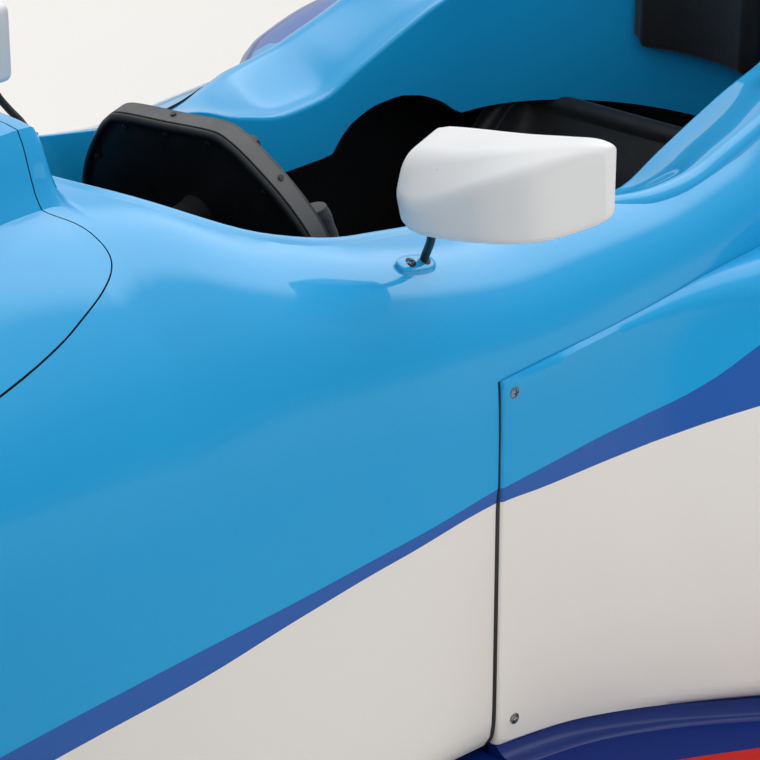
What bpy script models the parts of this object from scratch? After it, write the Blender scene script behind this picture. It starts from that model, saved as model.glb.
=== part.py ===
"""Open wheel racing car, built as its real pieces. Metres, +X forward, +Y to the car's left, +Z up.

The origin is on the ground, under the middle of the car's length.
"""
import math

import bmesh
import bpy
from mathutils import Matrix, Vector

# Main sizes
FRONT_AXLE_X = 1.39
REAR_AXLE_X = -1.58
FRONT_TIP_X = FRONT_AXLE_X + 0.81
REAR_TIP_X = REAR_AXLE_X - 0.62
GAP = 0.0004                  # air left between pieces that seat on each other

# Survival cell
CELL_FRONT_X = 1.50
CELL_REAR_X = -0.62
WALL = 0.035
FOOTWELL_FRONT_X = 1.16
COCKPIT_REAR_X = -0.49

# Cockpit opening and its surround
OPENING_HALF_WIDTH = 0.21
OPENING_FRONT_X = 0.60
OPENING_CORNER_LENGTH = 0.22
TURN_X = -0.28                # where the straight sides end and the rear bow begins
BOW_DEPTH = 0.19
BOW_STEPS = 8                 # stations along each half of the bow
SKIN = 0.016
SKIRT_BOTTOM_Z = 0.46
SURROUND_FRONT_X = 0.40

# Floor
FLOOR_BOTTOM_Z = 0.036
FLOOR_THICKNESS = 0.0132
PLANK_THICKNESS = 0.010
FLOOR_REAR_X = -1.28
DIFFUSER_HALF_WIDTH = 0.50

# Steering
STEERING_WHEEL_X = 0.37
STEERING_WHEEL_Z = 0.565
COLUMN_RAKE = math.radians(15.0)
COLUMN_RADIUS = 0.016
COLUMN_SEGMENTS = 24
COLUMN_LENGTH = 0.24
BEARING_AHEAD = 0.15          # from the wheel's back to the column's bearing
WHEEL_BOX_DEPTH = 0.030
GRIP_RADIUS = 0.016
RACK_BEHIND_AXLE = 0.11
ROAD_WHEEL_LOCK = math.radians(14.0)
BALL_RADIUS = 0.014

# Wheels: one row per axle
# columns: axle x, wheel centre y, tyre radius, tyre width, kingpin y
WHEEL_SEGMENTS = 24
RIM_RADIUS = 0.168
FLANGE_RADIUS = 0.182
BORE_RADIUS = 0.024
DISC_INSET = 0.070            # from the inboard side of the tyre to the brake disc
AXLES = {
    "front": (FRONT_AXLE_X, 0.8475, 0.327, 0.305, 0.722),
    "rear": (REAR_AXLE_X, 0.810, 0.333, 0.380, 0.648),
}
SIDES = {"left": 1, "right": -1}

# Body sections of the cell and nose
# columns: x, half width, bottom z, widest z, top z, roundness of the upper half
CELL_SECTIONS = (
    (-0.62, 0.335, 0.050, 0.33, 0.700, 4.5),
    (-0.47, 0.345, 0.050, 0.33, 0.695, 5.5),
    (-0.32, 0.348, 0.050, 0.33, 0.666, 6.5),
    (-0.20, 0.350, 0.050, 0.33, 0.628, 6.5),
    (-0.10, 0.350, 0.050, 0.33, 0.594, 6.5),
    (0.03, 0.348, 0.050, 0.33, 0.578, 6.2),
    (0.20, 0.342, 0.050, 0.33, 0.580, 5.2),
    (0.36, 0.330, 0.052, 0.33, 0.605, 4.5),
    (0.47, 0.313, 0.052, 0.335, 0.640, 3.6),
    (0.58, 0.295, 0.052, 0.34, 0.678, 2.9),
    (0.66, 0.282, 0.055, 0.34, 0.683, 2.6),
    (0.85, 0.250, 0.080, 0.35, 0.655, 2.6),
    (1.10, 0.210, 0.155, 0.37, 0.600, 2.8),
    (1.35, 0.168, 0.238, 0.385, 0.538, 3.0),
    (1.50, 0.145, 0.276, 0.39, 0.503, 3.0),
)
NOSE_SECTIONS = (
    (1.50, 0.145, 0.276, 0.39, 0.503, 3.0),
    (1.70, 0.122, 0.305, 0.38, 0.452, 2.8),
    (1.88, 0.100, 0.312, 0.362, 0.408, 2.5),
    (2.00, 0.078, 0.315, 0.350, 0.380, 2.3),
    (2.06, 0.045, 0.325, 0.345, 0.362, 2.2),
)
LOWER_ROUNDNESS = 9.0
SECTION_POINTS = 24
STATION = 0.085

# Sidepod sections
# columns: x, top half width, bottom half width, top z, top corner radius
SIDEPOD_BOTTOM_Z = 0.0496
SIDEPOD_INNER_Y = 0.2504
SIDEPOD_SECTIONS = (
    (-1.28, 0.330, 0.360, 0.370, 0.050),
    (-1.14, 0.450, 0.500, 0.410, 0.070),
    (-1.00, 0.580, 0.630, 0.450, 0.080),
    (-0.80, 0.655, 0.688, 0.480, 0.090),
    (-0.50, 0.655, 0.695, 0.490, 0.090),
    (-0.30, 0.590, 0.690, 0.490, 0.075),
    (-0.15, 0.470, 0.660, 0.488, 0.055),
    (-0.06, 0.400, 0.590, 0.485, 0.040),
    (0.046, 0.366, 0.482, 0.478, 0.024),
    (0.145, 0.357, 0.402, 0.470, 0.016),
    (0.220, 0.351, 0.364, 0.466, 0.010),
    (0.295, 0.345, 0.345, 0.461, 0.006),
)
INLET = (0.505, 0.635, 0.13, 0.42)        # inner y, outer y, bottom z, top z
INLET_DEPTH_X = -0.48

# Engine cover: a spine that rises to the airbox, and shoulders that carry on from the cell
# columns: x, half width, foot half width, base z, top z, roundness
COVER_SKIN = 0.008
SHOULDER_SEAM = 0.002
SPINE_SECTIONS = (
    (-1.62, 0.115, 0.116, 0.385, 0.455, 2.4),
    (-1.45, 0.150, 0.151, 0.385, 0.545, 2.3),
    (-1.30, 0.190, 0.200, 0.385, 0.630, 2.1),
    (-1.16, 0.220, 0.240, 0.405, 0.710, 2.0),
    (-1.00, 0.225, 0.2495, 0.430, 0.800, 1.9),
    (-0.80, 0.205, 0.2495, 0.455, 0.895, 1.9),
    (-0.65, 0.165, 0.2495, 0.460, 0.940, 2.1),
    (-0.505, 0.130, 0.2495, 0.460, 0.945, 2.4),
)
# columns: x, half width, top z, roundness
SHOULDER_SECTIONS = (
    (-1.16, 0.255, 0.470, 3.0),
    (-1.00, 0.275, 0.530, 3.0),
    (-0.85, 0.300, 0.590, 3.2),
    (-0.72, 0.322, 0.660, 3.9),
    (-0.6204, 0.335, 0.698, 4.5),
)

# Cockpit surround, along its path from the front to the middle of the rear bow
# columns: x, rim z, crest z, flange width
SURROUND_SECTIONS = (
    (-0.47, 0.788, 0.796, 0.032),
    (-0.40, 0.708, 0.732, 0.070),
    (-0.29, 0.617, 0.652, 0.100),
    (-0.22, 0.598, 0.624, 0.100),
    (-0.165, 0.580, 0.604, 0.100),
    (-0.10, 0.557, 0.586, 0.100),
    (-0.04, 0.536, 0.572, 0.100),
    (0.02, 0.533, 0.568, 0.094),
    (0.08, 0.545, 0.569, 0.072),
    (0.16, 0.565, 0.573, 0.036),
    (0.30, 0.580, 0.578, 0.017),
    (0.40, 0.585, 0.583, 0.017),
)
ELBOW_CUT = (-0.165, 0.455, 0.115, 0.050)     # x, z and half axes of the cut-out in each side's skirt

ENGINE_HALF_WIDTH = 0.19
ENGINE_REAR_X = -1.15
ENGINE_TOP_Z = 0.44
GEARBOX_HALF_WIDTH = 0.11
GEARBOX_TOP_Z = 0.38
GEARBOX_BOTTOM_Z = 0.115
GEARBOX_REAR_X = -1.90

REAR_WING_HALF_SPAN = 0.49
FRONT_WING_HALF_SPAN = 0.69
ENDPLATE = 0.010

# Colours: base colour, roughness, metallic
PAINTS = {
    "blue_paint": ((0.05, 0.42, 0.80), 0.15, 0.0),
    "white_paint": ((0.80, 0.79, 0.76), 0.20, 0.0),
    "dark_blue_paint": ((0.02, 0.09, 0.38), 0.18, 0.0),
    "carbon": ((0.02, 0.02, 0.022), 0.35, 0.0),
    "tyre_rubber": ((0.015, 0.015, 0.015), 0.85, 0.0),
    "magnesium": ((0.30, 0.30, 0.31), 0.40, 0.9),
    "cast_alloy": ((0.42, 0.42, 0.42), 0.5, 0.9),
    "black_leather": ((0.02, 0.02, 0.02), 0.6, 0.0),
    "black_plastic": ((0.015, 0.015, 0.016), 0.4, 0.0),
}


def start():
    """Empties the scene and makes the two collections."""
    for old in list(bpy.data.objects):
        bpy.data.objects.remove(old)
    found = []
    for name in ("open_wheel_racing_car", "cutters"):
        collection = bpy.data.collections.new(name)
        bpy.context.scene.collection.children.link(collection)
        found.append(collection)
    return found


PARTS, CUTTERS = start()


def paint(name):
    """The named material, made once."""
    material = bpy.data.materials.get(name)
    if material is None:
        colour, roughness, metallic = PAINTS[name]
        material = bpy.data.materials.new(name)
        material.use_nodes = True
        shader = material.node_tree.nodes["Principled BSDF"]
        shader.inputs["Base Color"].default_value = (*colour, 1.0)
        shader.inputs["Roughness"].default_value = roughness
        shader.inputs["Metallic"].default_value = metallic
    return material


def make(name, bm, material=None):
    """An object from a bmesh: a part when it has a material, otherwise a cutter."""
    bmesh.ops.recalc_face_normals(bm, faces=bm.faces)
    mesh = bpy.data.meshes.new(name)
    bm.to_mesh(mesh)
    bm.free()
    mesh.shade_smooth()
    mesh.set_sharp_from_angle(angle=math.radians(35.0))
    made = bpy.data.objects.new(name, mesh)
    if material is None:
        CUTTERS.objects.link(made)
        made.hide_render = True
        made.display_type = "WIRE"
    else:
        PARTS.objects.link(made)
        mesh.materials.append(paint(material))
    return made


def combine(target, other, operation):
    """A live Boolean of another solid on the target."""
    modifier = target.modifiers.new(other.name, "BOOLEAN")
    modifier.operation = operation
    modifier.solver = "EXACT"
    modifier.object = other
    return target


def cut(target, *others):
    for other in others:
        combine(target, other, "DIFFERENCE")
    return target


def fuse(target, *others):
    for other in others:
        combine(target, other, "UNION")
    return target


def read(table, x, column):
    """A column of a table of sections at any x, on a smooth curve that never overshoots."""
    rows = sorted(table)
    xs = [row[0] for row in rows]
    ys = [row[column] for row in rows]
    last = len(xs) - 1
    if x <= xs[0]:
        return ys[0]
    if x >= xs[last]:
        return ys[last]
    steps = [(ys[i + 1] - ys[i]) / (xs[i + 1] - xs[i]) for i in range(last)]

    def slope(i):
        if i in (0, last):
            return steps[min(i, last - 1)]
        before, after = steps[i - 1], steps[i]
        return 0.0 if before * after <= 0 else 2 * before * after / (before + after)

    i = max(k for k in range(last) if xs[k] <= x)
    width = xs[i + 1] - xs[i]
    t = (x - xs[i]) / width
    rise = (2 * t - 3) * t * t
    start_share = (t - 1) * (t - 1) * t * width * slope(i)
    end_share = (t - 1) * t * t * width * slope(i + 1)
    return ys[i] * (1 + rise) - ys[i + 1] * rise + start_share + end_share


def spaced(low, high, step):
    """Even stations from low to high, no further apart than step."""
    count = max(1, math.ceil((high - low) / step - 1e-9))
    return [low + (high - low) * i / count for i in range(count + 1)]


def stations(low, high, step):
    """The multiples of step between low and high, with both ends, so that nested lofts share their stations."""
    inner = [i * step for i in range(math.ceil(low / step - 0.2), math.floor(high / step + 0.2) + 1)]
    return [low] + [x for x in inner if low + 0.2 * step < x < high - 0.2 * step] + [high]


def loft(name, rings, material=None):
    """A closed solid through rings of equally many points, capped at both ends.

    The quads' diagonals are mirrored across the car, and a grown copy has the same ones, so that it stays parallel.
    """
    bm = bmesh.new()
    rows = [[bm.verts.new(point) for point in ring] for ring in rings]
    sides = [point[1] for ring in rings for point in ring]
    straddles = min(sides) < 0 < max(sides)
    for low, high in zip(rows, rows[1:]):
        for i in range(len(low)):
            j = (i + 1) % len(low)
            right = straddles and low[i].co.y + low[j].co.y + high[i].co.y + high[j].co.y < 0
            ends = (high[i], low[j]) if right else (low[i], high[j])
            bm.faces.new((low[i], low[j], ends[1] if not right else ends[0]))
            bm.faces.new((high[j], high[i], ends[0] if not right else ends[1]))
    bm.faces.new(rows[0])
    bm.faces.new(rows[-1])
    return make(name, bm, material)


def box(name, low, high, material=None, bevel=0.0):
    """A box between two corners, with its edges bevelled."""
    bm = bmesh.new()
    bmesh.ops.create_cube(bm, size=1.0)
    size = [b - a for a, b in zip(low, high)]
    middle = [(a + b) / 2 for a, b in zip(low, high)]
    bmesh.ops.scale(bm, vec=size, verts=bm.verts)
    bmesh.ops.translate(bm, vec=middle, verts=bm.verts)
    if bevel:
        bmesh.ops.bevel(bm, geom=bm.edges[:], offset=bevel, segments=2, profile=0.5, affect="EDGES")
    return make(name, bm, material)


def rod(name, start_point, end_point, radius, material=None, segments=10, end_radius=None, flatten=1.0):
    """A straight round bar between two points. flatten below 1 makes it thin in z."""
    first, last = Vector(start_point), Vector(end_point)
    along = last - first
    bm = bmesh.new()
    bmesh.ops.create_cone(
        bm, cap_ends=True, segments=segments, radius1=radius,
        radius2=radius if end_radius is None else end_radius, depth=along.length)
    axis = along.normalized()
    across = (Vector((1, 0, 0)) if abs(axis.z) > 0.9 else Vector((0, 0, 1))).cross(axis).normalized()
    turn = Matrix((across, axis.cross(across), axis)).transposed().to_4x4()
    bmesh.ops.transform(bm, matrix=turn, verts=bm.verts)
    bmesh.ops.scale(bm, vec=(1, 1, flatten), verts=bm.verts) if flatten != 1.0 and abs(along.z) < 1e-6 else None
    bmesh.ops.translate(bm, vec=(first + last) / 2, verts=bm.verts)
    return make(name, bm, material)


def slab(name, outline, low, high, axis, material=None):
    """A flat outline extruded along an axis. The outline holds the other two coordinates, in x, y, z order."""
    bm = bmesh.new()

    def place(a, b, depth):
        return {"x": (depth, a, b), "y": (a, depth, b), "z": (a, b, depth)}[axis]

    face = bm.faces.new([bm.verts.new(place(a, b, low)) for a, b in outline])
    raised = bmesh.ops.extrude_face_region(bm, geom=[face])
    verts = [v for v in raised["geom"] if isinstance(v, bmesh.types.BMVert)]
    bmesh.ops.translate(bm, vec=Vector(place(0, 0, high - low)), verts=verts)
    return make(name, bm, material)


def turned(name, profile, centre, side, material):
    """A wheel piece: a closed profile of (radius, distance outboard) turned about the car's Y axis.

    The profile runs down its outer side. Half a facet of turn puts a flat facet on the ground.
    """
    half = math.pi / WHEEL_SEGMENTS
    bm = bmesh.new()
    verts = [bm.verts.new((r * math.cos(half), r * math.sin(half), a)) for r, a in profile]
    for i in range(len(verts)):
        bm.edges.new((verts[i], verts[(i + 1) % len(verts)]))
    mesh = bpy.data.meshes.new(name)
    bm.to_mesh(mesh)
    bm.free()
    mesh.materials.append(paint(material))
    made = bpy.data.objects.new(name, mesh)
    PARTS.objects.link(made)
    made.location = centre
    made.rotation_euler = (-side * math.pi / 2, 0, 0)
    screw = made.modifiers.new("turn", "SCREW")
    screw.steps = WHEEL_SEGMENTS
    screw.render_steps = WHEEL_SEGMENTS
    screw.use_merge_vertices = True
    screw.merge_threshold = 0.00005
    screw.use_smooth_shade = True
    return made


def body_ring(table, x, grow=0.0):
    """One section of the cell or nose: a rounded outline, grown outwards or, below 0, inwards."""
    half_width = read(table, x, 1) + grow
    bottom = read(table, x, 2) - grow
    middle = read(table, x, 3)
    top = read(table, x, 4) + grow
    upper = read(table, x, 5)
    ring = []
    for i in range(SECTION_POINTS):
        angle = 2 * math.pi * i / SECTION_POINTS
        c, s = math.cos(angle), math.sin(angle)
        power = 2 / (upper if s >= 0 else LOWER_ROUNDNESS)
        height = top - middle if s >= 0 else middle - bottom
        y = half_width * math.copysign(abs(c) ** power, c)
        z = middle + height * math.copysign(abs(s) ** power, s)
        ring.append((x, y, z))
    return ring


def body_loft(name, table, rear, front, grow=0.0, material=None, step=STATION):
    return loft(name, [body_ring(table, x, grow) for x in stations(rear, front, step)], material)


def opening_outline(half_width, front, rear):
    """The cockpit opening seen from above: straight sides and a rounded front."""
    left = [(rear, half_width)]
    corner = front - OPENING_CORNER_LENGTH
    for i in range(9):
        angle = math.pi / 2 * (1 - i / 8)
        left.append((corner + OPENING_CORNER_LENGTH * math.cos(angle), half_width * math.sin(angle)))
    return left + [(x, -y) for x, y in reversed(left[:-1])]


def cell_top(x, y):
    """The height of the cell's upper surface at a place seen from above."""
    half_width, middle, top, power = (read(CELL_SECTIONS, x, i) for i in (1, 3, 4, 5))
    share = min(1.0, abs(y) / half_width)
    return middle + (top - middle) * (1 - share ** power) ** (1 / power)


def bow_station(i):
    """One station of the rear bow, counted from the left turn: x, y and outward direction."""
    angle = math.pi / 2 * i / BOW_STEPS
    x = TURN_X - BOW_DEPTH * math.sin(angle)
    y = OPENING_HALF_WIDTH * math.cos(angle)
    out = Vector((-math.sin(angle) / BOW_DEPTH, math.cos(angle) / OPENING_HALF_WIDTH)).normalized()
    return x, y, out.x, out.y


def surround_path():
    """Stations along the surround: x, y and outward direction, from the left front round to the right front."""
    left = [(x, OPENING_HALF_WIDTH, 0.0, 1.0) for x in reversed(spaced(TURN_X, SURROUND_FRONT_X, 0.055))]
    left += [bow_station(i) for i in range(1, BOW_STEPS + 1)]
    return left + [(x, -y, dx, -dy) for x, y, dx, dy in reversed(left[:-1])]


def surround_ring(station, clearance=None):
    """The surround's section: an inner skirt with a flange that rises outwards to its crest.

    With a clearance it is the room that the surround takes out of the cell, which is open above the flange.
    """
    x, y, dx, dy = station
    rim, crest, flange = (read(SURROUND_SECTIONS, x, i) for i in (1, 2, 3))
    flange = max(flange, SKIN + 0.001)
    low = min(crest - 0.020, rim - 0.010, cell_top(x + dx * flange, y + dy * flange) - 0.010)
    if clearance is None:
        outline = (
            (0.0, SKIRT_BOTTOM_Z),
            (0.0, rim - 0.006),
            (0.006, rim),
            (flange * 0.6, rim + (crest - rim) * 0.7 + 0.004),
            (flange - 0.004, crest),
            (flange, crest - 0.008),
            (flange, low),
            (SKIN, low),
            (SKIN, SKIRT_BOTTOM_Z),
        )
    else:
        inner, outer = SKIN + clearance, flange + clearance
        outline = (
            (-clearance, SKIRT_BOTTOM_Z - clearance),
            (-clearance, 0.90),
            (outer, 0.90),
            (outer, low - clearance),
            (inner, low - clearance),
            (inner, SKIRT_BOTTOM_Z - clearance),
        )
    return [(x + dx * a, y + dy * a, z) for a, z in outline]


def make_cell():
    cell = body_loft("survival_cell", CELL_SECTIONS, CELL_REAR_X, CELL_FRONT_X, material="blue_paint")
    hollow = body_loft("cell_hollow", CELL_SECTIONS, COCKPIT_REAR_X, FOOTWELL_FRONT_X, grow=-WALL)
    opening = slab("cell_opening", opening_outline(OPENING_HALF_WIDTH, OPENING_FRONT_X, COCKPIT_REAR_X),
                   0.40, 0.90, "z")
    path = surround_path()
    for end in (0, -1):
        x, y, dx, dy = path[end]
        path[end] = (x + GAP, y, dx, dy)
    seat_of_surround = loft("surround_seat", [surround_ring(s, GAP) for s in path])
    rack_x = FRONT_AXLE_X - RACK_BEHIND_AXLE
    tunnel = rod("rack_tunnel", (rack_x, -0.4, rack_height()), (rack_x, 0.4, rack_height()), 0.0125 + GAP,
                 segments=12)
    pocket = hatch_solid("hatch_pocket", HATCH_SEAM, None)
    fuse(cell, ridge("ridge_rear", RIDGE_REAR_X, HATCH_REAR_X - HATCH_SEAM - GAP))
    return cut(cell, hollow, opening, seat_of_surround, tunnel, pocket)


# Hatch over the footwell
HATCH_REAR_X = 0.654
HATCH_FRONT_X = 1.22
HATCH_HALF_WIDTH = 0.204
HATCH_SHARE = 0.86            # of the cell's half width, where that is less
HATCH_THICKNESS = 0.006
HATCH_SEAM = 0.0012


# Raised ridge in front of the driver, split by the hatch's rear seam
# columns: x, half width, top z, roundness
RIDGE_REAR_X = 0.621
RIDGE_SECTIONS = (
    (RIDGE_REAR_X, 0.078, 0.686, 3.0),
    (0.632, 0.080, 0.728, 3.4),
    (0.648, 0.082, 0.748, 3.6),
    (0.675, 0.083, 0.753, 3.6),
    (0.740, 0.081, 0.742, 3.4),
    (0.830, 0.074, 0.712, 3.0),
    (0.930, 0.062, 0.670, 2.6),
    (1.020, 0.048, 0.631, 2.4),
    (1.090, 0.030, 0.598, 2.2),
)


def ridge(name, rear, front):
    rings = []
    for x in [rear] + [row[0] for row in RIDGE_SECTIONS if rear + 0.004 < row[0] < front - 0.004] + [front]:
        half_width, top, power = (read(RIDGE_SECTIONS, x, i) for i in (1, 2, 3))
        base = cell_top(x, half_width) - 0.012
        rings.append(arch(x, half_width, base, max(top, base + 0.002), power, points=10))
    return loft(name, rings)


def hatch_outline(grow=0.0):
    def width_at(x):
        return min(HATCH_HALF_WIDTH, HATCH_SHARE * read(CELL_SECTIONS, x, 1)) + grow

    left = []
    corner = 0.050
    for i in range(7):
        angle = math.pi / 2 * i / 6
        x = HATCH_REAR_X + corner - (corner + grow) * math.cos(angle)
        left.append((x, width_at(x) * math.sin(angle) ** 0.25 if i else 0.0))
    for x in spaced(HATCH_REAR_X + corner + 0.06, HATCH_FRONT_X, 0.06):
        left.append((x, width_at(x)))
    left.append((HATCH_FRONT_X + 0.03 + grow, 0.0))
    return left + [(x, -y) for x, y in reversed(left[1:-1])]


def hatch_solid(name, grow, material):
    """A layer of the cell's own surface, cut to the hatch's outline."""
    low = 0.0 if material else 0.004
    layer = body_loft(name, CELL_SECTIONS, 0.49, 1.33, grow=low, material=material)
    core = body_loft(name + "_core", CELL_SECTIONS, 0.42, 1.40, grow=-HATCH_THICKNESS - grow)
    outline = slab(name + "_outline", hatch_outline(grow), 0.40, 0.90, "z")
    if material:
        fuse(layer, ridge("ridge_front", HATCH_REAR_X - 0.03, RIDGE_SECTIONS[-1][0]))
    cut(layer, core)
    return combine(layer, outline, "INTERSECT")


def make_surround():
    surround = loft("cockpit_surround", [surround_ring(s) for s in surround_path()], "blue_paint")
    elbow_x, elbow_z, half_x, half_z = ELBOW_CUT
    turns = [2 * math.pi * i / 16 for i in range(16)]
    outline = [(elbow_x + half_x * math.cos(a), elbow_z + half_z * math.sin(a)) for a in turns]
    return cut(surround, slab("elbow_cut", outline, -0.4, 0.4, "y"))


def make_headrest():
    """A pad that follows the inside of the rear bow."""
    rings = []
    for i in range(BOW_STEPS - 2, BOW_STEPS + 3):
        x, y, dx, dy = bow_station(i)
        section = ((GAP, 0.53), (GAP, 0.70), (0.022, 0.70), (0.030, 0.69), (0.030, 0.54), (0.022, 0.53))
        rings.append([(x - dx * a, y - dy * a, z) for a, z in section])
    return loft("headrest_pad", rings, "black_leather")


def shifted(x, outline):
    """An outline whose first coordinates are counted from x."""
    return [(x + a, b) for a, b in outline]


def make_nose():
    nose = body_loft("nose_cone", NOSE_SECTIONS, CELL_FRONT_X + GAP, 2.06, material="blue_paint", step=0.05)
    pylons = []
    for name, side in SIDES.items():
        low = front_wing_top() + GAP
        outline = shifted(FRONT_TIP_X, ((-0.40, 0.34), (-0.24, 0.34), (-0.14, low), (-0.30, low)))
        y = 0.070 * side
        pylons.append(slab("wing_pylon_" + name, outline, y - 0.005, y + 0.005, "y"))
    return fuse(nose, *pylons)


def sidepod_ring(x, side):
    top_width, bottom_width, top, radius = (read(SIDEPOD_SECTIONS, x, i) for i in (1, 2, 3, 4))
    bottom = SIDEPOD_BOTTOM_Z
    foot = min(radius, 0.02)
    ring = [(SIDEPOD_INNER_Y, bottom), (SIDEPOD_INNER_Y, top)]
    for i in range(5):
        angle = math.pi / 2 * (1 - i / 4)
        ring.append((top_width - radius + radius * math.cos(angle), top - radius + radius * math.sin(angle)))
    for share in (0.25, 0.5, 0.75):
        bulge = 0.03 * math.sin(math.pi * share) * min(1.0, max(0.0, (0.1 - x) / 0.4))
        ring.append((top_width + (bottom_width - top_width) * share ** 1.25 + bulge,
                     (top - radius) + (bottom + foot - top + radius) * share))
    ring.append((bottom_width, bottom + foot))
    ring.append((bottom_width - foot, bottom))
    return [(x, y * side, z) for y, z in ring]


def make_sidepod(name, side, envelope):
    sections = spaced(-1.28, -0.35, 0.12) + spaced(-0.28, SIDEPOD_SECTIONS[-1][0], 0.058)
    pod = loft("sidepod_" + name, [sidepod_ring(x, side) for x in sections], "white_paint")
    inner, outer, low, high = INLET
    duct = box("inlet_" + name, (INLET_DEPTH_X, min(inner * side, outer * side), low),
               (0.30, max(inner * side, outer * side), high), bevel=0.03)
    return cut(pod, envelope, duct)


def arch(x, half_width, base, top, power, points=12):
    """The upper half of a rounded section, from the left base round to the right base."""
    ring = []
    for i in range(points + 1):
        angle = math.pi * i / points
        c, s = math.cos(angle), max(0.0, math.sin(angle))
        ring.append((x, half_width * math.copysign(abs(c) ** (2 / power), c), base + (top - base) * s ** (2 / power)))
    return ring


def spine_ring(x, inset=0.0, drop=0.0):
    half_width, foot, base, top, power = (read(SPINE_SECTIONS, x, i) for i in (1, 2, 3, 4, 5))
    shelf = base + 0.045 - inset
    rise = arch(x, half_width - inset, shelf + 0.004, top - inset, power)
    outer = foot - inset
    return [(x, outer, base - drop), (x, outer, shelf)] + rise + [(x, -outer, shelf), (x, -outer, base - drop)]


def shoulder_base(x):
    return read(SIDEPOD_SECTIONS, x, 3) + SHOULDER_SEAM


def shoulder_ring(x, inset=0.0, drop=0.0):
    half_width, top, power = (read(SHOULDER_SECTIONS, x, i) for i in (1, 2, 3))
    return arch(x, half_width - inset, shoulder_base(x) - drop, top - inset, power)


def make_cover(envelope):
    cover = loft("engine_cover", [spine_ring(x) for x in stations(-1.62, -0.505, STATION)], "blue_paint")
    shoulders = loft("cover_shoulders", [shoulder_ring(x) for x in stations(-1.16, CELL_REAR_X - GAP, STATION)])
    inside = loft("cover_inside", [spine_ring(x, COVER_SKIN, 0.05) for x in stations(-1.70, -0.640, STATION)])
    hollow = loft("shoulders_inside", [shoulder_ring(x, COVER_SKIN, 0.02) for x in stations(-1.10, -0.640, STATION)])
    mouth = rod("airbox_mouth", (-0.70, 0, 0.865), (-0.40, 0, 0.865), 0.058, segments=20)
    fuse(cover, shoulders)
    return cut(cover, envelope, inside, hollow, mouth)


def make_floor():
    top = FLOOR_BOTTOM_Z + FLOOR_THICKNESS
    half = ((1.00, 0.10), (0.96, 0.18), (0.80, 0.23), (0.45, 0.30), (0.36, 0.345), (0.29, 0.40), (0.16, 0.55),
            (0.02, 0.68), (-0.10, 0.70),
            (-1.05, 0.70), (-1.18, 0.58), (FLOOR_REAR_X, 0.56))
    outline = list(half) + [(x, -y) for x, y in reversed(half)]
    floor = slab("floor", outline, FLOOR_BOTTOM_Z, top, "z", "dark_blue_paint")
    plank = box("plank", (-1.20, -0.15, FLOOR_BOTTOM_Z - PLANK_THICKNESS), (0.90, 0.15, FLOOR_BOTTOM_Z + 0.004))
    return fuse(floor, plank)


def make_diffuser():
    """The rising tail of the floor, with its fences."""
    low, thick = FLOOR_BOTTOM_Z, FLOOR_THICKNESS
    front = FLOOR_REAR_X - GAP
    ramp = slab("diffuser", ((front, low), (front, low + thick), (-1.62, low + 0.045 + thick),
                             (-1.98, 0.225), (-1.98, 0.225 - thick), (-1.62, low + 0.045)),
                -DIFFUSER_HALF_WIDTH, DIFFUSER_HALF_WIDTH, "y", "carbon")
    fences = []
    for i, share in enumerate((-1, -0.56, 0.56, 1)):
        outline = ((front - 0.010, low + 0.002), (front - 0.010, low + thick * 0.5), (-1.62, low + 0.045 + thick * 0.5),
                   (-1.97, 0.22), (-1.97, 0.075), (-1.62, low + 0.002))
        y = share * (DIFFUSER_HALF_WIDTH - 0.005)
        fences.append(slab("fence_%d" % i, outline, y - 0.004, y + 0.004, "y"))
    return fuse(ramp, *fences)


def aerofoil(leading, trailing, thickness, camber):
    """An aerofoil's outline in the XZ plane between its leading and trailing points, cambered downwards."""
    lead, trail = Vector(leading), Vector(trailing)
    chord = trail - lead
    normal = Vector((chord.y, -chord.x)).normalized()
    if normal.y < 0:
        normal = -normal
    upper, lower = [], []
    for i in range(9):
        t = (1 - math.cos(math.pi * i / 8)) / 2
        bow = -camber * 4 * t * (1 - t)
        half = thickness * (1.48 * math.sqrt(t) - 0.63 * t - 1.76 * t * t + 1.42 * t ** 3 - 0.49 * t ** 4) + 0.0008
        base = lead + chord * t
        upper.append(base + normal * (bow + half))
        lower.append(base + normal * (bow - half))
    return [tuple(p) for p in upper] + [tuple(p) for p in reversed(lower)]


FRONT_WING_LEAD = (FRONT_TIP_X - 0.04, 0.090)
FRONT_WING_TRAIL = (FRONT_TIP_X - 0.30, 0.098)


def front_wing_top():
    return 0.118


def wing_brackets(label, outline, places, half_thickness=0.003):
    """Thin plates that carry a flap on its main plane."""
    made = []
    for i, y in enumerate(places):
        made.append(slab("%s_bracket_%d" % (label, i), outline, y - half_thickness, y + half_thickness, "y"))
    return made


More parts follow.
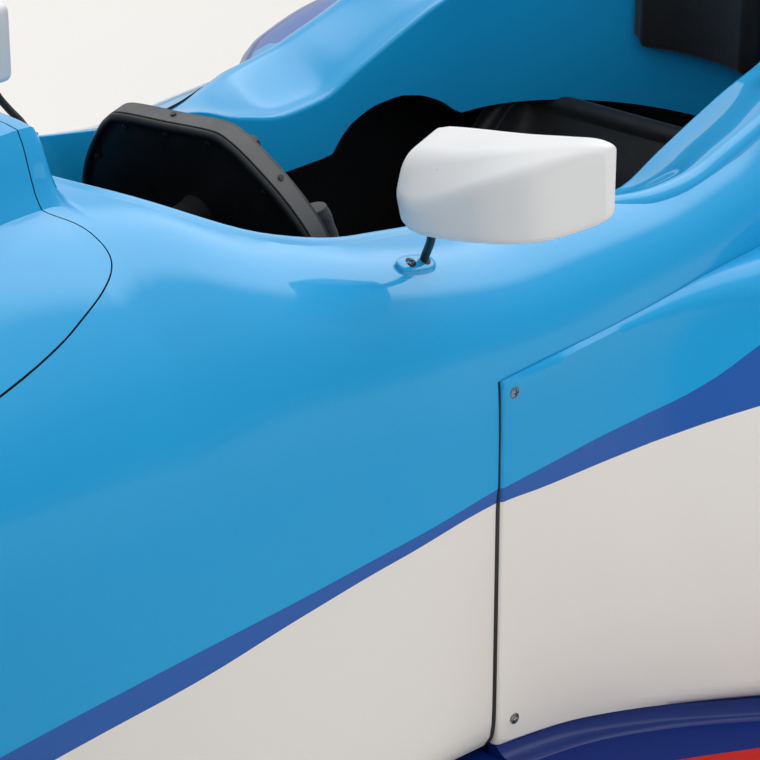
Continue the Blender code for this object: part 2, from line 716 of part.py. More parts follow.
def make_front_wing():
    span = FRONT_WING_HALF_SPAN - GAP
    main = slab("front_wing", aerofoil(FRONT_WING_LEAD, FRONT_WING_TRAIL, 0.024, 0.010), -span, span, "y",
                "white_paint")
    bracket = shifted(FRONT_TIP_X, ((-0.265, 0.085), (-0.265, 0.112), (-0.305, 0.134), (-0.340, 0.146),
                                    (-0.340, 0.138), (-0.300, 0.085)))
    flap_section = shifted(FRONT_TIP_X, aerofoil((-0.275, 0.125), (-0.412, 0.185), 0.010, 0.008))
    plate = shifted(FRONT_TIP_X, ((0.0, 0.05), (0.0, 0.11), (-0.10, 0.20), (-0.415, 0.235), (-0.42, 0.21),
                                  (-0.42, 0.05)))
    for name, side in SIDES.items():
        y = 0.070 * side
        low, high = sorted((0.15 * side, span * side))
        flap = slab("front_flap_" + name, flap_section, low, high, "y")
        foot = box("pylon_foot_" + name, (FRONT_TIP_X - 0.30, y - 0.012, 0.09),
                   (FRONT_TIP_X - 0.14, y + 0.012, front_wing_top()))
        fuse(main, foot, flap)
        fuse(main, *wing_brackets("front_" + name, bracket, [side * share * span for share in (0.28, 0.62, 0.93)]))
        low, high = sorted((FRONT_WING_HALF_SPAN * side, (FRONT_WING_HALF_SPAN + ENDPLATE) * side))
        slab("front_endplate_" + name, plate, low, high, "y", "white_paint")


def make_rear_wing():
    span = REAR_WING_HALF_SPAN - GAP
    main_section = shifted(REAR_TIP_X, aerofoil((0.42, 0.775), (0.16, 0.800), 0.026, 0.022))
    flap_section = shifted(REAR_TIP_X, aerofoil((0.165, 0.825), (0.025, 0.890), 0.012, 0.010))
    beam_section = shifted(REAR_TIP_X, aerofoil((0.44, 0.505), (0.24, 0.530), 0.020, 0.014))
    main = slab("rear_wing", main_section, -span, span, "y", "white_paint")
    flap = slab("rear_wing_flap", flap_section, -span, span, "y")
    bracket = shifted(REAR_TIP_X, ((0.210, 0.788), (0.210, 0.815), (0.150, 0.835), (0.110, 0.845), (0.110, 0.835),
                                   (0.170, 0.790)))
    fuse(main, flap, *wing_brackets("rear", bracket, (-0.24, 0.24)))
    beam = slab("rear_beam_wing", beam_section, -span, span, "y", "white_paint")
    seat = GEARBOX_TOP_Z + GAP
    pillar = shifted(REAR_TIP_X, ((0.48, seat), (0.40, 0.50), (0.30, 0.50), (0.34, seat)))
    fuse(beam, slab("wing_pillar", pillar, -0.012, 0.012, "y"))
    plate = shifted(REAR_TIP_X, ((0.48, 0.46), (0.48, 0.84), (0.40, 0.92), (0.0, 0.92), (0.0, 0.60), (0.15, 0.42),
                                 (0.40, 0.42)))
    for name, side in SIDES.items():
        low, high = sorted((REAR_WING_HALF_SPAN * side, (REAR_WING_HALF_SPAN + ENDPLATE) * side))
        slab("rear_endplate_" + name, plate, low, high, "y", "blue_paint")


def axle_height(axle):
    """The hub's height with a flat facet of the tyre on the ground."""
    return AXLES[axle][2] * math.cos(math.pi / WHEEL_SEGMENTS)


def rack_height():
    return axle_height("front") + 0.02


def make_wheel(axle, name, side):
    x, y, radius, width, _ = AXLES[axle]
    centre = (x, y * side, axle_height(axle))
    half = width / 2
    bead = half - 0.022
    tread = half - 0.030
    inner = RIM_RADIUS + GAP
    outer_side = [(radius, tread), (radius, -tread)]
    lower_wall = [(radius - 0.012, -half + 0.010), (radius - 0.040, -half), (FLANGE_RADIUS + 0.030, -half + 0.004),
                  (FLANGE_RADIUS + 0.004, -bead), (inner, -bead + 0.002)]
    upper_wall = [(r, -a) for r, a in reversed(lower_wall)]
    turned("tyre_%s_%s" % (axle, name), outer_side + lower_wall + upper_wall, centre, side, "tyre_rubber")
    lip = bead + 0.003
    edge = lip + 0.008
    web = half - 0.075
    barrel = RIM_RADIUS - 0.010
    disc = DISC_INSET - half
    profile = [
        (FLANGE_RADIUS, edge), (FLANGE_RADIUS, lip), (RIM_RADIUS, lip), (RIM_RADIUS, -lip), (FLANGE_RADIUS, -lip),
        (FLANGE_RADIUS, -edge), (barrel, -edge), (barrel, web - 0.012), (0.048, web - 0.020), (0.048, disc + 0.025),
        (0.135, disc + 0.025), (0.135, disc), (BORE_RADIUS, disc), (BORE_RADIUS, web + 0.020), (0.050, web + 0.020),
        (barrel, web + 0.012), (barrel, edge)]
    turned("rim_%s_%s" % (axle, name), profile, centre, side, "magnesium")


def make_upright(axle, name, side):
    """The upright that carries a wheel on its spindle, with the steering arm in front or the brake caliper behind."""
    x, wheel_y, _, width, pin_y = AXLES[axle]
    z = axle_height(axle)
    inner = pin_y - 0.020
    outer = wheel_y - width / 2 + DISC_INSET - 0.005

    def block(label, rear, front, near, far, half_height, height, material=None, bevel=0.0):
        low, high = sorted((near * side, far * side))
        return box("%s_%s_%s" % (label, axle, name), (rear, low, height - half_height),
                   (front, high, height + half_height), material, bevel)

    upright = block("upright", x - 0.035, x + 0.035, inner, outer, 0.110, z, "cast_alloy", 0.006)
    pieces = [rod("spindle_%s_%s" % (axle, name), (x, (outer - 0.02) * side, z),
                  (x, (wheel_y + width / 2 - 0.060) * side, z),
                  BORE_RADIUS * math.cos(math.pi / WHEEL_SEGMENTS) - GAP, segments=16)]
    if axle == "front":
        arm_x = x - RACK_BEHIND_AXLE
        ball_y = track_rod_ball_y() * side
        pieces.append(block("steering_arm", arm_x - 0.012, x - 0.02, abs(ball_y) - 0.006, outer, 0.010, rack_height()))
        pieces.append(rod("steering_ball_" + name, (arm_x, ball_y, rack_height() - 0.016),
                          (arm_x, ball_y, rack_height() + 0.016), BALL_RADIUS, segments=12))
    else:
        pieces.append(block("caliper_arm", x - 0.145, x - 0.02, inner, outer, 0.030, z))
    return fuse(upright, *pieces)


def track_rod_ball_y():
    return AXLES["front"][4] - 0.012


# Suspension arms: each is a V from two pick-ups to one outboard joint
# columns: axle, arm, pick-up x offsets, pick-up y, pick-up z, outboard height from the axle
ARMS = (
    ("front", "upper_wishbone", (0.09, -0.24), 0.10, 0.480, 0.110),
    ("front", "lower_wishbone", (0.08, -0.30), 0.10, 0.305, -0.110),
    ("rear", "upper_wishbone", (0.26, -0.14), 0.10, 0.350, 0.110),
    ("rear", "lower_wishbone", (0.28, -0.15), 0.10, 0.180, -0.110),
)
ARM_RADIUS = 0.0085
PUSHROD_RADIUS = 0.008
PUSHROD_TOPS = {"front": (-0.02, 0.475), "rear": (0.10, 0.345)}    # x offset from the axle, and z
JOINT_HEIGHT = 0.030


def make_arm(row, name, side, envelope):
    axle, arm, offsets, pick_y, pick_z, height = row
    x, _, _, _, pin_y = AXLES[axle]
    away = math.copysign(1, height)
    near = axle_height(axle) + height + GAP * away
    far = near + JOINT_HEIGHT * away
    label = "%s_%s_%s" % (axle, arm, name)
    made = rod(label, (x, pin_y * side, min(near, far)), (x, pin_y * side, max(near, far)), 0.018, "carbon",
               segments=14)
    centre = Vector((x, pin_y * side, far - 0.010 * away))
    legs = []
    for i, offset in enumerate(offsets):
        pick = Vector((x + offset, pick_y * side, pick_z))
        legs.append(rod("%s_leg_%d" % (label, i), centre, pick, ARM_RADIUS, segments=8))
    if arm == "lower_wishbone":
        across = Vector((x + sum(offsets) / 2, pick_y * side, pick_z))
        foot = centre.lerp(across, 0.10)
        top_x, top_z = PUSHROD_TOPS[axle]
        legs.append(rod(label + "_pushrod", foot, (x + top_x, pick_y * side, top_z), PUSHROD_RADIUS, segments=8))
        bridge_x = 0.022
        legs.append(rod(label + "_bridge", foot - Vector((bridge_x, 0, 0)), foot + Vector((bridge_x, 0, 0)),
                        ARM_RADIUS, segments=8))
    fuse(made, *legs)
    return cut(made, envelope)


def make_rack():
    """The rack bar with both track rods, one straight piece that slides across the car."""
    x = FRONT_AXLE_X - RACK_BEHIND_AXLE
    z = rack_height()
    end = track_rod_ball_y() - BALL_RADIUS - 0.0010
    rack = rod("steering_rack", (x, -end, z), (x, end, z), 0.009, "cast_alloy", segments=10)
    middle = rod("rack_bar", (x, -0.28, z), (x, 0.28, z), 0.0125, segments=12)
    return fuse(rack, middle)


def wheel_outline():
    """Half of the steering wheel's outline, right half first, as (across, up)."""
    right = [(0.0, 0.101), (0.066, 0.101), (0.086, 0.094), (0.102, 0.082), (0.119, 0.065), (0.135, 0.047),
             (0.150, 0.026), (0.162, 0.003), (0.167, -0.022), (0.163, -0.050), (0.148, -0.078), (0.115, -0.094),
             (0.070, -0.098), (0.0, -0.098)]
    return right + [(-a, b) for a, b in reversed(right[1:-1])]


def column_frame():
    """The column's own frame: local X up the wheel's face, Y across and Z to the driver."""
    up = Vector((math.sin(COLUMN_RAKE), 0, math.cos(COLUMN_RAKE)))
    back = Vector((-math.cos(COLUMN_RAKE), 0, math.sin(COLUMN_RAKE)))
    turn = Matrix((up, back.cross(up), back)).transposed().to_4x4()
    return Matrix.Translation((STEERING_WHEEL_X, 0, STEERING_WHEEL_Z)) @ turn


def column_rod(name, low, high, radius):
    """A round bar on the column's axis."""
    made = rod(name, (0, 0, low), (0, 0, high), radius, segments=COLUMN_SEGMENTS)
    made.data.transform(column_frame())
    return made


def make_steering_wheel():
    """The wheel and its column, drawn in the column's own frame."""
    bm = bmesh.new()
    face = bm.faces.new([bm.verts.new((b, a, 0.0)) for a, b in wheel_outline()])
    raised = bmesh.ops.extrude_face_region(bm, geom=[face])
    verts = [v for v in raised["geom"] if isinstance(v, bmesh.types.BMVert)]
    bmesh.ops.translate(bm, vec=(0, 0, WHEEL_BOX_DEPTH), verts=verts)
    bmesh.ops.recalc_face_normals(bm, faces=bm.faces)
    rims = [e for e in bm.edges if abs(e.verts[0].co.z - e.verts[1].co.z) < 1e-6]
    bmesh.ops.bevel(bm, geom=rims, offset=0.005, segments=2, profile=0.5, affect="EDGES")
    wheel = make("steering_wheel", bm, "black_plastic")
    wheel.data.transform(column_frame())
    grips = []
    for name, side in SIDES.items():
        grip = rod("grip_" + name, (-0.072, 0.132 * side, 0.036), (0.026, 0.136 * side, 0.036), GRIP_RADIUS,
                   segments=10)
        grip.data.transform(column_frame())
        grips.append(grip)
    return fuse(wheel, column_rod("steering_column", -COLUMN_LENGTH, 0.005, COLUMN_RADIUS),
                column_rod("steering_hub", -0.035, 0.005, 2 * COLUMN_RADIUS), *grips)


def make_column_bracket():
    """The bulkhead that carries the steering column, across the cell."""
    x = (column_frame() @ Vector((0, 0, -BEARING_AHEAD))).x
    bracket = box("dash_bulkhead", (x - 0.012, -0.42, 0.40), (x + 0.012, 0.42, 0.60), "carbon")
    fit = body_loft("dash_fit", CELL_SECTIONS, 0.28, 0.84, grow=-WALL - GAP)
    combine(bracket, fit, "INTERSECT")
    hole = COLUMN_RADIUS / math.cos(math.pi / COLUMN_SEGMENTS) + 0.75 * GAP
    return cut(bracket, column_rod("column_hole", -COLUMN_LENGTH, -0.05, hole))


def make_seat():
    """A reclined bucket: a U section carried along its side profile."""
    # columns: x, height over the cell's inner floor, side height, half width
    path = ((0.22, 0.065, 0.05, 0.20), (0.10, 0.027, 0.09, 0.225), (-0.05, 0.0019, 0.11, 0.235),
            (-0.20, 0.0192, 0.13, 0.235), (-0.30, 0.105, 0.13, 0.235), (-0.37, 0.235, 0.10, 0.235),
            (-0.42, 0.355, 0.05, 0.225))
    thick = 0.018
    inner_floor = min(row[2] for row in CELL_SECTIONS) + WALL
    path = [(x, inner_floor + rise, side_height, half) for x, rise, side_height, half in path]
    rings = []
    for i, (x, z, side_height, half) in enumerate(path):
        before, after = path[max(0, i - 1)], path[min(len(path) - 1, i + 1)]
        along = Vector((after[0] - before[0], after[1] - before[1])).normalized()
        normal = Vector((-along.y, along.x))
        if normal.y < 0:
            normal = -normal
        corner = 0.035
        outline = [(-half, side_height), (-half, corner), (-half + corner, 0.0), (half - corner, 0.0),
                   (half, corner), (half, side_height), (half - thick, side_height),
                   (half - thick, corner + 0.006), (half - corner - 0.006, thick), (-half + corner + 0.006, thick),
                   (-half + thick, corner + 0.006), (-half + thick, side_height)]
        rings.append([(x + normal.x * up, a, z + normal.y * up) for a, up in outline])
    return loft("seat", rings, "black_leather")


MIRROR_INNER_Y = 0.288
MIRROR_WIDTH = 0.187
# columns: share of the width, rear x, front x, bottom z, z of the crease along the front, top z
MIRROR_SECTIONS = (
    (0.00, 0.318, 0.390, 0.630, 0.658, 0.712),
    (0.05, 0.312, 0.399, 0.624, 0.657, 0.718),
    (0.25, 0.306, 0.406, 0.624, 0.675, 0.728),
    (0.50, 0.300, 0.402, 0.632, 0.697, 0.738),
    (0.75, 0.292, 0.384, 0.646, 0.718, 0.748),
    (0.94, 0.286, 0.352, 0.664, 0.733, 0.752),
    (1.00, 0.290, 0.328, 0.674, 0.730, 0.745),
)


def make_mirror(name, side):
    """Mirror pod on its thin stalk and foot plate."""
    rings = []
    for share, rear, front, low, crease, high in MIRROR_SECTIONS:
        y = (MIRROR_INNER_Y + MIRROR_WIDTH * share) * side
        outline = ((rear, high - 0.005), (rear, low + 0.005), (rear + 0.007, low), (front - 0.026, low),
                   (front - 0.008, low + 0.008), (front, crease), (front - 0.020, high - 0.010),
                   (front - 0.036, high), (rear + 0.007, high))
        rings.append([(x, y, z) for x, z in outline])
    pod = loft("mirror_" + name, rings, "white_paint")
    foot_x, foot_y = 0.360, 0.283
    foot_z = cell_top(foot_x, foot_y)
    stalk = rod("mirror_stalk_" + name, (foot_x + 0.004, foot_y * side, foot_z + 0.002),
                (foot_x + 0.012, (foot_y + 0.016) * side, 0.636), 0.0045, segments=8)
    plate = rod("mirror_plate_" + name, (foot_x + 0.002, (foot_y - 0.003) * side, foot_z - 0.006),
                (foot_x + 0.006, (foot_y + 0.003) * side, foot_z + 0.007), 0.014, segments=12)
    return pod, (stalk, plate)


def make_engine():
    box("engine_block", (ENGINE_REAR_X, -ENGINE_HALF_WIDTH, 0.07),
        (CELL_REAR_X - GAP, ENGINE_HALF_WIDTH, ENGINE_TOP_Z), "cast_alloy", bevel=0.0)
    side_view = ((ENGINE_REAR_X - GAP, GEARBOX_BOTTOM_Z), (ENGINE_REAR_X - GAP, GEARBOX_TOP_Z),
                 (GEARBOX_REAR_X, GEARBOX_TOP_Z), (GEARBOX_REAR_X, 0.250), (-1.62, GEARBOX_BOTTOM_Z))
    slab("gearbox", side_view, -GEARBOX_HALF_WIDTH, GEARBOX_HALF_WIDTH, "y", "cast_alloy")
    return box("gearbox_envelope", (GEARBOX_REAR_X - GAP, -GEARBOX_HALF_WIDTH - GAP, GEARBOX_BOTTOM_Z - GAP),
               (ENGINE_REAR_X, GEARBOX_HALF_WIDTH + GAP, GEARBOX_TOP_Z + GAP))


def make_driveshaft(name, side):
    x, _, _, _, pin_y = AXLES["rear"]
    z = axle_height("rear")
    return rod("driveshaft_" + name, (x, (GEARBOX_HALF_WIDTH + GAP) * side, z), (x, (pin_y - 0.020 - GAP) * side, z),
               0.016, "cast_alloy", segments=12)


def build():
    envelope = body_loft("cell_envelope", CELL_SECTIONS, CELL_REAR_X - GAP, CELL_FRONT_X, grow=GAP)
    make_cell()
    hatch_solid("hatch_cover", 0.0, "blue_paint")
    make_surround()
    make_headrest()
    make_nose()
    make_cover(envelope)
    make_floor()
    make_diffuser()
    gearbox_envelope = make_engine()
    make_seat()
    make_column_bracket()
    make_steering_wheel()
    make_rack()
    make_front_wing()
    make_rear_wing()
    for name, side in SIDES.items():
        make_sidepod(name, side, envelope)
        pod, feet = make_mirror(name, side)
        fuse(pod, *feet)
        cut(pod, envelope)
        make_driveshaft(name, side)
        for axle in AXLES:
            make_wheel(axle, name, side)
            make_upright(axle, name, side)
        for row in ARMS:
            make_arm(row, name, side, envelope if row[0] == "front" else gearbox_envelope)


build()
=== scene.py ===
import math

import bmesh
import bpy
from mathutils import Matrix, Vector


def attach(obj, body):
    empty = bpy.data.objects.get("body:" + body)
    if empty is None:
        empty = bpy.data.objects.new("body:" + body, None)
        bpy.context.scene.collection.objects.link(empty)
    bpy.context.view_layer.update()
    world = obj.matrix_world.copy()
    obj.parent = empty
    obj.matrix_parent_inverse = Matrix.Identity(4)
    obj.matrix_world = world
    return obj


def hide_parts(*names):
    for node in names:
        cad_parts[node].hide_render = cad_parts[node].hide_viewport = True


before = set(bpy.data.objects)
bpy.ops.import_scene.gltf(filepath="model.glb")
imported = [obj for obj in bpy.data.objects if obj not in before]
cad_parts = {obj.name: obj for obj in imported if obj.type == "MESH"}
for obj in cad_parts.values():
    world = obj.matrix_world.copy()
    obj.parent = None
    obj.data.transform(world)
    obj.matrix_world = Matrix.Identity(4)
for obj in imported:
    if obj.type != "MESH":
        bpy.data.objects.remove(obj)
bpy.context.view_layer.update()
print("frame loaded:", len(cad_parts), "nodes")

sides = {"left": 1, "right": -1}

colours = {
    "sky blue": "#189AD4",
    "stripe blue": "#2458A6",
    "floor blue": "#0A2468",
    "race red": "#B3201B",
    "warm white": "#E1DDD8",
    "cool white": "#E0E1E2",
    "cloud white": "#E6E7E8",
    "carbon black": "#101113",
    "leather black": "#0E0E10",
    "moulded black": "#121315",
    "suede grey": "#2A2B2D",
    "band grey": "#505153",
    "tyre black": "#161617",
    "magnesium grey": "#7D7C78",
    "alloy grey": "#A9A8A4",
    "steel": "#8F9093",
    "webbing black": "#131316",
    "floor pale": "#E8E5E0",
    # painted shade of the studio floor far from the lit middle
    "floor paintedShade": "#9A9997",
}


def linear(hexText):
    # sRGB hex to the linear colour that shaders take
    values = [int(hexText[i:i + 2], 16) / 255 for i in (1, 3, 5)]
    return [v / 12.92 if v <= 0.04045 else ((v + 0.055) / 1.055) ** 2.4 for v in values] + [1.0]


# materials


def addNode(tree, kind, inputs=None, links=None, **settings):
    node = tree.nodes.new(kind)
    for key, value in settings.items():
        setattr(node, key, value)
    for key, value in (inputs or {}).items():
        node.inputs[key].default_value = value
    for key, socket in (links or {}).items():
        tree.links.new(socket, node.inputs[key])
    return node


def startMaterial(name, colour, roughness, metallic=0.0, coat=0.0, coatRoughness=0.03):
    material = bpy.data.materials.new(name)
    material.use_nodes = True
    tree = material.node_tree
    shader = tree.nodes["Principled BSDF"]
    shader.inputs["Base Color"].default_value = linear(colours[colour])
    shader.inputs["Roughness"].default_value = roughness
    shader.inputs["Metallic"].default_value = metallic
    shader.inputs["Coat Weight"].default_value = coat
    shader.inputs["Coat Roughness"].default_value = coatRoughness
    if not metallic:
        shader.inputs["IOR"].default_value = 1.5
    place = addNode(tree, "ShaderNodeTexCoord").outputs["Object"]
    return material, tree, shader, place


def addNoise(tree, place, size, detail):
    # a noise whose grain is size metres across
    return addNode(tree, "ShaderNodeTexNoise", {"Scale": 1 / size, "Detail": detail, "Roughness": 0.55},
        {"Vector": place}).outputs["Fac"]


def vary(tree, shader, factor, low, high):
    # roughness between low and high, by the middle range of a noise
    tree.links.new(spread(tree, factor, low, high, 0.3, 0.7), shader.inputs["Roughness"])


def paintOver(tree, shader, factor, first, second):
    tree.links.new(mixColours(tree, factor, first, second), shader.inputs["Base Color"])


def addBump(tree, shader, height, distance, strength, before=None):
    links = {"Height": height}
    if before:
        links["Normal"] = before
    bump = addNode(tree, "ShaderNodeBump", {"Strength": strength, "Distance": distance}, links)
    tree.links.new(bump.outputs["Normal"], shader.inputs["Normal"])
    return bump.outputs["Normal"]


def spread(tree, factor, low, high, fromLow=0.0, fromHigh=1.0):
    return addNode(tree, "ShaderNodeMapRange", {"From Min": fromLow, "From Max": fromHigh, "To Min": low,
        "To Max": high}, {"Value": factor}).outputs["Result"]


def mixColours(tree, factor, first, second):
    # first and second are colour names or sockets
    node = tree.nodes.new("ShaderNodeMix")
    node.data_type = "RGBA"
    tree.links.new(factor, node.inputs["Factor"])
    for name, value in (("A", first), ("B", second)):
        socket = [s for s in node.inputs if s.name == name and s.type == "RGBA"][0]
        if isinstance(value, str):
            socket.default_value = linear(colours[value])
        else:
            tree.links.new(value, socket)
    return [s for s in node.outputs if s.type == "RGBA"][0]


def curveAt(tree, value, points, low, high):
    # a smooth curve through (x, y) points, for x between low and high and y between 0 and 1
    along = spread(tree, value, 0.0, 1.0, low, high)
    node = addNode(tree, "ShaderNodeFloatCurve", None, {"Value": along})
    curve = node.mapping.curves[0]
    while len(curve.points) > 2:
        curve.points.remove(curve.points[1])
    spots = [((x - low) / (high - low), y) for x, y in points]
    curve.points[0].location = spots[0]
    curve.points[1].location = spots[-1]
    for spot in spots[1:-1]:
        curve.points.new(*spot)
    node.mapping.update()
    return node.outputs["Value"]


def compare(tree, first, second, operation="GREATER_THAN"):
    node = addNode(tree, "ShaderNodeMath", None, {0: first}, operation=operation)
    if isinstance(second, (int, float)):
        node.inputs[1].default_value = second
    else:
        tree.links.new(second, node.inputs[1])
    return node.outputs["Value"]


livery = {
    # height of the blue stripe's edges above the ground, by distance along the car
    "stripe top": ((-2.3, 0.62), (-1.3, 0.60), (-0.8, 0.56), (-0.45, 0.525), (-0.25, 0.488),
        (-0.12, 0.446), (-0.033, 0.410), (0.042, 0.382), (0.107, 0.3705), (0.174, 0.363), (0.24, 0.3555),
        (0.30, 0.349), (0.425, 0.330), (0.542, 0.312), (0.654, 0.297), (0.761, 0.282), (0.86, 0.267),
        (1.2, 0.215), (1.5, 0.16), (2.3, 0.03)),
    "stripe foot": ((-2.3, 0.52), (-1.3, 0.50), (-0.8, 0.465), (-0.45, 0.425), (-0.25, 0.392),
        (-0.12, 0.370), (-0.016, 0.354), (0.05, 0.346), (0.11, 0.340), (0.174, 0.336), (0.24, 0.3338),
        (0.30, 0.3345), (0.425, 0.316), (0.542, 0.293), (0.655, 0.268), (0.763, 0.251), (0.86, 0.235),
        (1.2, 0.175), (1.5, 0.11), (2.3, -0.02)),
}


def glossPaint(name, stripes=True, colour="sky blue"):
    # two-pack lacquer over composite: a deep clear gloss with a faint orange peel
    material, tree, shader, place = startMaterial(name, colour, 0.35, coat=1.0)
    shader.inputs["Specular IOR Level"].default_value = 0.12
    split = addNode(tree, "ShaderNodeSeparateXYZ", None, {"Vector": place})
    x, z = split.outputs["X"], split.outputs["Z"]
    # road dust takes the gloss off the lower flanks
    tree.links.new(spread(tree, z, 0.25, 1.0, 0.42, 0.58), shader.inputs["Coat Weight"])
    if stripes:
        above = compare(tree, z, curveAt(tree, x, livery["stripe top"], -2.3, 2.3))
        below = compare(tree, z, curveAt(tree, x, livery["stripe foot"], -2.3, 2.3), "LESS_THAN")
        paintOver(tree, shader, below, mixColours(tree, above, "stripe blue", colour), "warm white")
    # polish haze and fine dust
    vary(tree, shader, addNoise(tree, place, 0.12, 4.0), 0.30, 0.42)
    addBump(tree, shader, addNoise(tree, place, 0.006, 1.0), 0.00004, 0.35)
    return material


def floorPaint():
    # the floor's lacquer: dark blue with a red band round its outer edge
    material, tree, shader, place = startMaterial("floorPaint", "floor blue", 0.3, coat=0.05)
    shader.inputs["Specular IOR Level"].default_value = 0.08
    split = addNode(tree, "ShaderNodeSeparateXYZ", None, {"Vector": place})
    x = split.outputs["X"]
    y = compare(tree, split.outputs["Y"], 0.0, "ABSOLUTE")
    edge = curveAt(tree, x, ((-1.3, 0.60), (-0.3, 0.60), (-0.05, 0.585), (0.06, 0.552), (0.106, 0.523),
        (0.168, 0.483), (0.26, 0.43), (0.34, 0.40), (1.1, 0.40)), -1.3, 1.1)
    paintOver(tree, shader, compare(tree, y, edge), "floor blue", "race red")
    vary(tree, shader, addNoise(tree, place, 0.02, 5.0), 0.25, 0.45)
    addBump(tree, shader, addNoise(tree, place, 0.006, 1.0), 0.00004, 0.3)
    return material


def satinWhite():
    # sprayed satin white on a moulded pod, with small dark stone chips
    material, tree, shader, place = startMaterial("satinWhite", "cool white", 0.42, coat=0.25,
        coatRoughness=0.2)
    chips = addNode(tree, "ShaderNodeTexVoronoi", {"Scale": 55.0, "Randomness": 1.0}, {"Vector": place})
    small = compare(tree, chips.outputs["Distance"], 0.075, "LESS_THAN")
    patch = compare(tree, addNoise(tree, place, 0.05, 2.0), 0.62)
    paintOver(tree, shader, compare(tree, small, patch, "MULTIPLY"), "cool white", "suede grey")
    vary(tree, shader, addNoise(tree, place, 0.03, 4.0), 0.36, 0.5)
    addBump(tree, shader, addNoise(tree, place, 0.004, 2.0), 0.00005, 0.4)
    return material


def whitePaint():
    # white lacquer of the wings
    material, tree, shader, place = startMaterial("whitePaint", "warm white", 0.35, coat=1.0)
    vary(tree, shader, addNoise(tree, place, 0.2, 5.0), 0.28, 0.45)
    addBump(tree, shader, addNoise(tree, place, 0.006, 1.0), 0.00004, 0.35)
    return material


def carbonWeave():
    # woven carbon under clear resin: a 2 mm twill, drawn at 4 mm so that it shows
    material, tree, shader, place = startMaterial("carbonWeave", "carbon black", 0.4, coat=0.6,
        coatRoughness=0.12)
    tow = 0.004
    turned = addNode(tree, "ShaderNodeMapping", {"Rotation": (0.6, 0.5, 0.785)}, {"Vector": place})
    bands = [addNode(tree, "ShaderNodeTexWave", {"Scale": 1 / (tow * 2 * math.pi), "Distortion": 0.0},
        {"Vector": turned.outputs["Vector"]}, bands_direction=way) for way in ("X", "Y")]
    twill = compare(tree, bands[0].outputs["Fac"], bands[1].outputs["Fac"])
    paintOver(tree, shader, twill, "carbon black", "suede grey")
    tree.links.new(spread(tree, twill, 0.32, 0.5), shader.inputs["Roughness"])
    addBump(tree, shader, twill, 0.00005, 0.3)
    return material


def leather(name, colour, grain):
    # pebbled hide with a dull sheen
    material, tree, shader, place = startMaterial(name, colour, 0.5)
    shader.inputs["Sheen Weight"].default_value = 0.15
    pebbles = addNode(tree, "ShaderNodeTexVoronoi", {"Scale": 1 / grain}, {"Vector": place},
        feature="DISTANCE_TO_EDGE")
    creases = addNoise(tree, place, 0.03, 5.0)
    vary(tree, shader, creases, 0.42, 0.62)
    first = addBump(tree, shader, creases, 0.002, 0.4)
    addBump(tree, shader, pebbles.outputs["Distance"], 0.0006, 0.5, before=first)
    return material


def mouldedPlastic(name, colour, roughness):
    # fine spark-eroded texture of a moulded or wrinkle-coated housing
    material, tree, shader, place = startMaterial(name, colour, roughness)
    vary(tree, shader, addNoise(tree, place, 0.02, 3.0), roughness - 0.08, roughness + 0.1)
    addBump(tree, shader, addNoise(tree, place, 0.0015, 2.0), 0.0002, 0.35)
    return material


def tyreRubber():
    # dull moulded rubber, browner and rougher where it has run
    material, tree, shader, place = startMaterial("tyreRubber", "tyre black", 0.75)
    wear = addNoise(tree, place, 0.05, 6.0)
    paintOver(tree, shader, spread(tree, wear, 0.0, 0.6, 0.35, 0.75), "tyre black", "suede grey")
    vary(tree, shader, wear, 0.62, 0.9)
    addBump(tree, shader, addNoise(tree, place, 0.003, 3.0), 0.0008, 0.5)
    return material


def metal(name, colour, roughness, grain=0.002, spreadBy=0.1):
    # cast or machined metal; the grain is what blasting or the tool leaves
    material, tree, shader, place = startMaterial(name, colour, roughness, metallic=1.0)
    cast = addNoise(tree, place, grain, 3.0)
    vary(tree, shader, cast, roughness - spreadBy, roughness + spreadBy)
    addBump(tree, shader, cast, 0.0002, 0.4)
    return material


def webbing():
    # flat woven nylon, ribs 1.5 mm apart drawn at 3 mm
    material, tree, shader, place = startMaterial("webbing", "webbing black", 0.7)
    shader.inputs["Sheen Weight"].default_value = 0.3
    ribs = addNode(tree, "ShaderNodeTexWave", {"Scale": 1 / (0.003 * 2 * math.pi)}, {"Vector": place},
        bands_direction="DIAGONAL")
    paintOver(tree, shader, ribs.outputs["Fac"], "webbing black", "suede grey")
    addBump(tree, shader, ribs.outputs["Fac"], 0.0004, 0.5)
    return material


def mirrorGlass():
    # silvered glass
    material, tree, shader, place = startMaterial("mirrorGlass", "cool white", 0.03, metallic=1.0)
    vary(tree, shader, addNoise(tree, place, 0.02, 3.0), 0.02, 0.06)
    return material


def lampRed():
    # red polycarbonate lens with ribs
    material, tree, shader, place = startMaterial("lampRed", "race red", 0.2, coat=0.8)
    ribs = addNode(tree, "ShaderNodeTexWave", {"Scale": 1 / (0.006 * 2 * math.pi)}, {"Vector": place},
        bands_direction="Y")
    addBump(tree, shader, ribs.outputs["Fac"], 0.0008, 0.6)
    return material


def screenGlass():
    # dark tinted window of a display
    material, tree, shader, place = startMaterial("screenGlass", "leather black", 0.08, coat=0.5)
    vary(tree, shader, addNoise(tree, place, 0.01, 3.0), 0.05, 0.16)
    return material


def studioGround():
    # pale matt studio floor with painted shade: its colour darkens from the lit middle outwards, where the
    # light falls off
    material, tree, shader, place = startMaterial("studioGround", "floor pale", 0.75)
    reach = addNode(tree, "ShaderNodeVectorMath", None, {0: place}, operation="LENGTH").outputs["Value"]
    # painted shade: the floor colour blends from pale to dark between 2.6 m and 8 m from the middle
    paintedShade = addNode(tree, "ShaderNodeMapRange", {"From Min": 2.6, "From Max": 8.0}, {"Value": reach},
        interpolation_type="SMOOTHSTEP").outputs["Result"]
    paintOver(tree, shader, paintedShade, "floor pale", "floor paintedShade")
    vary(tree, shader, addNoise(tree, place, 0.8, 4.0), 0.7, 0.85)
    return material


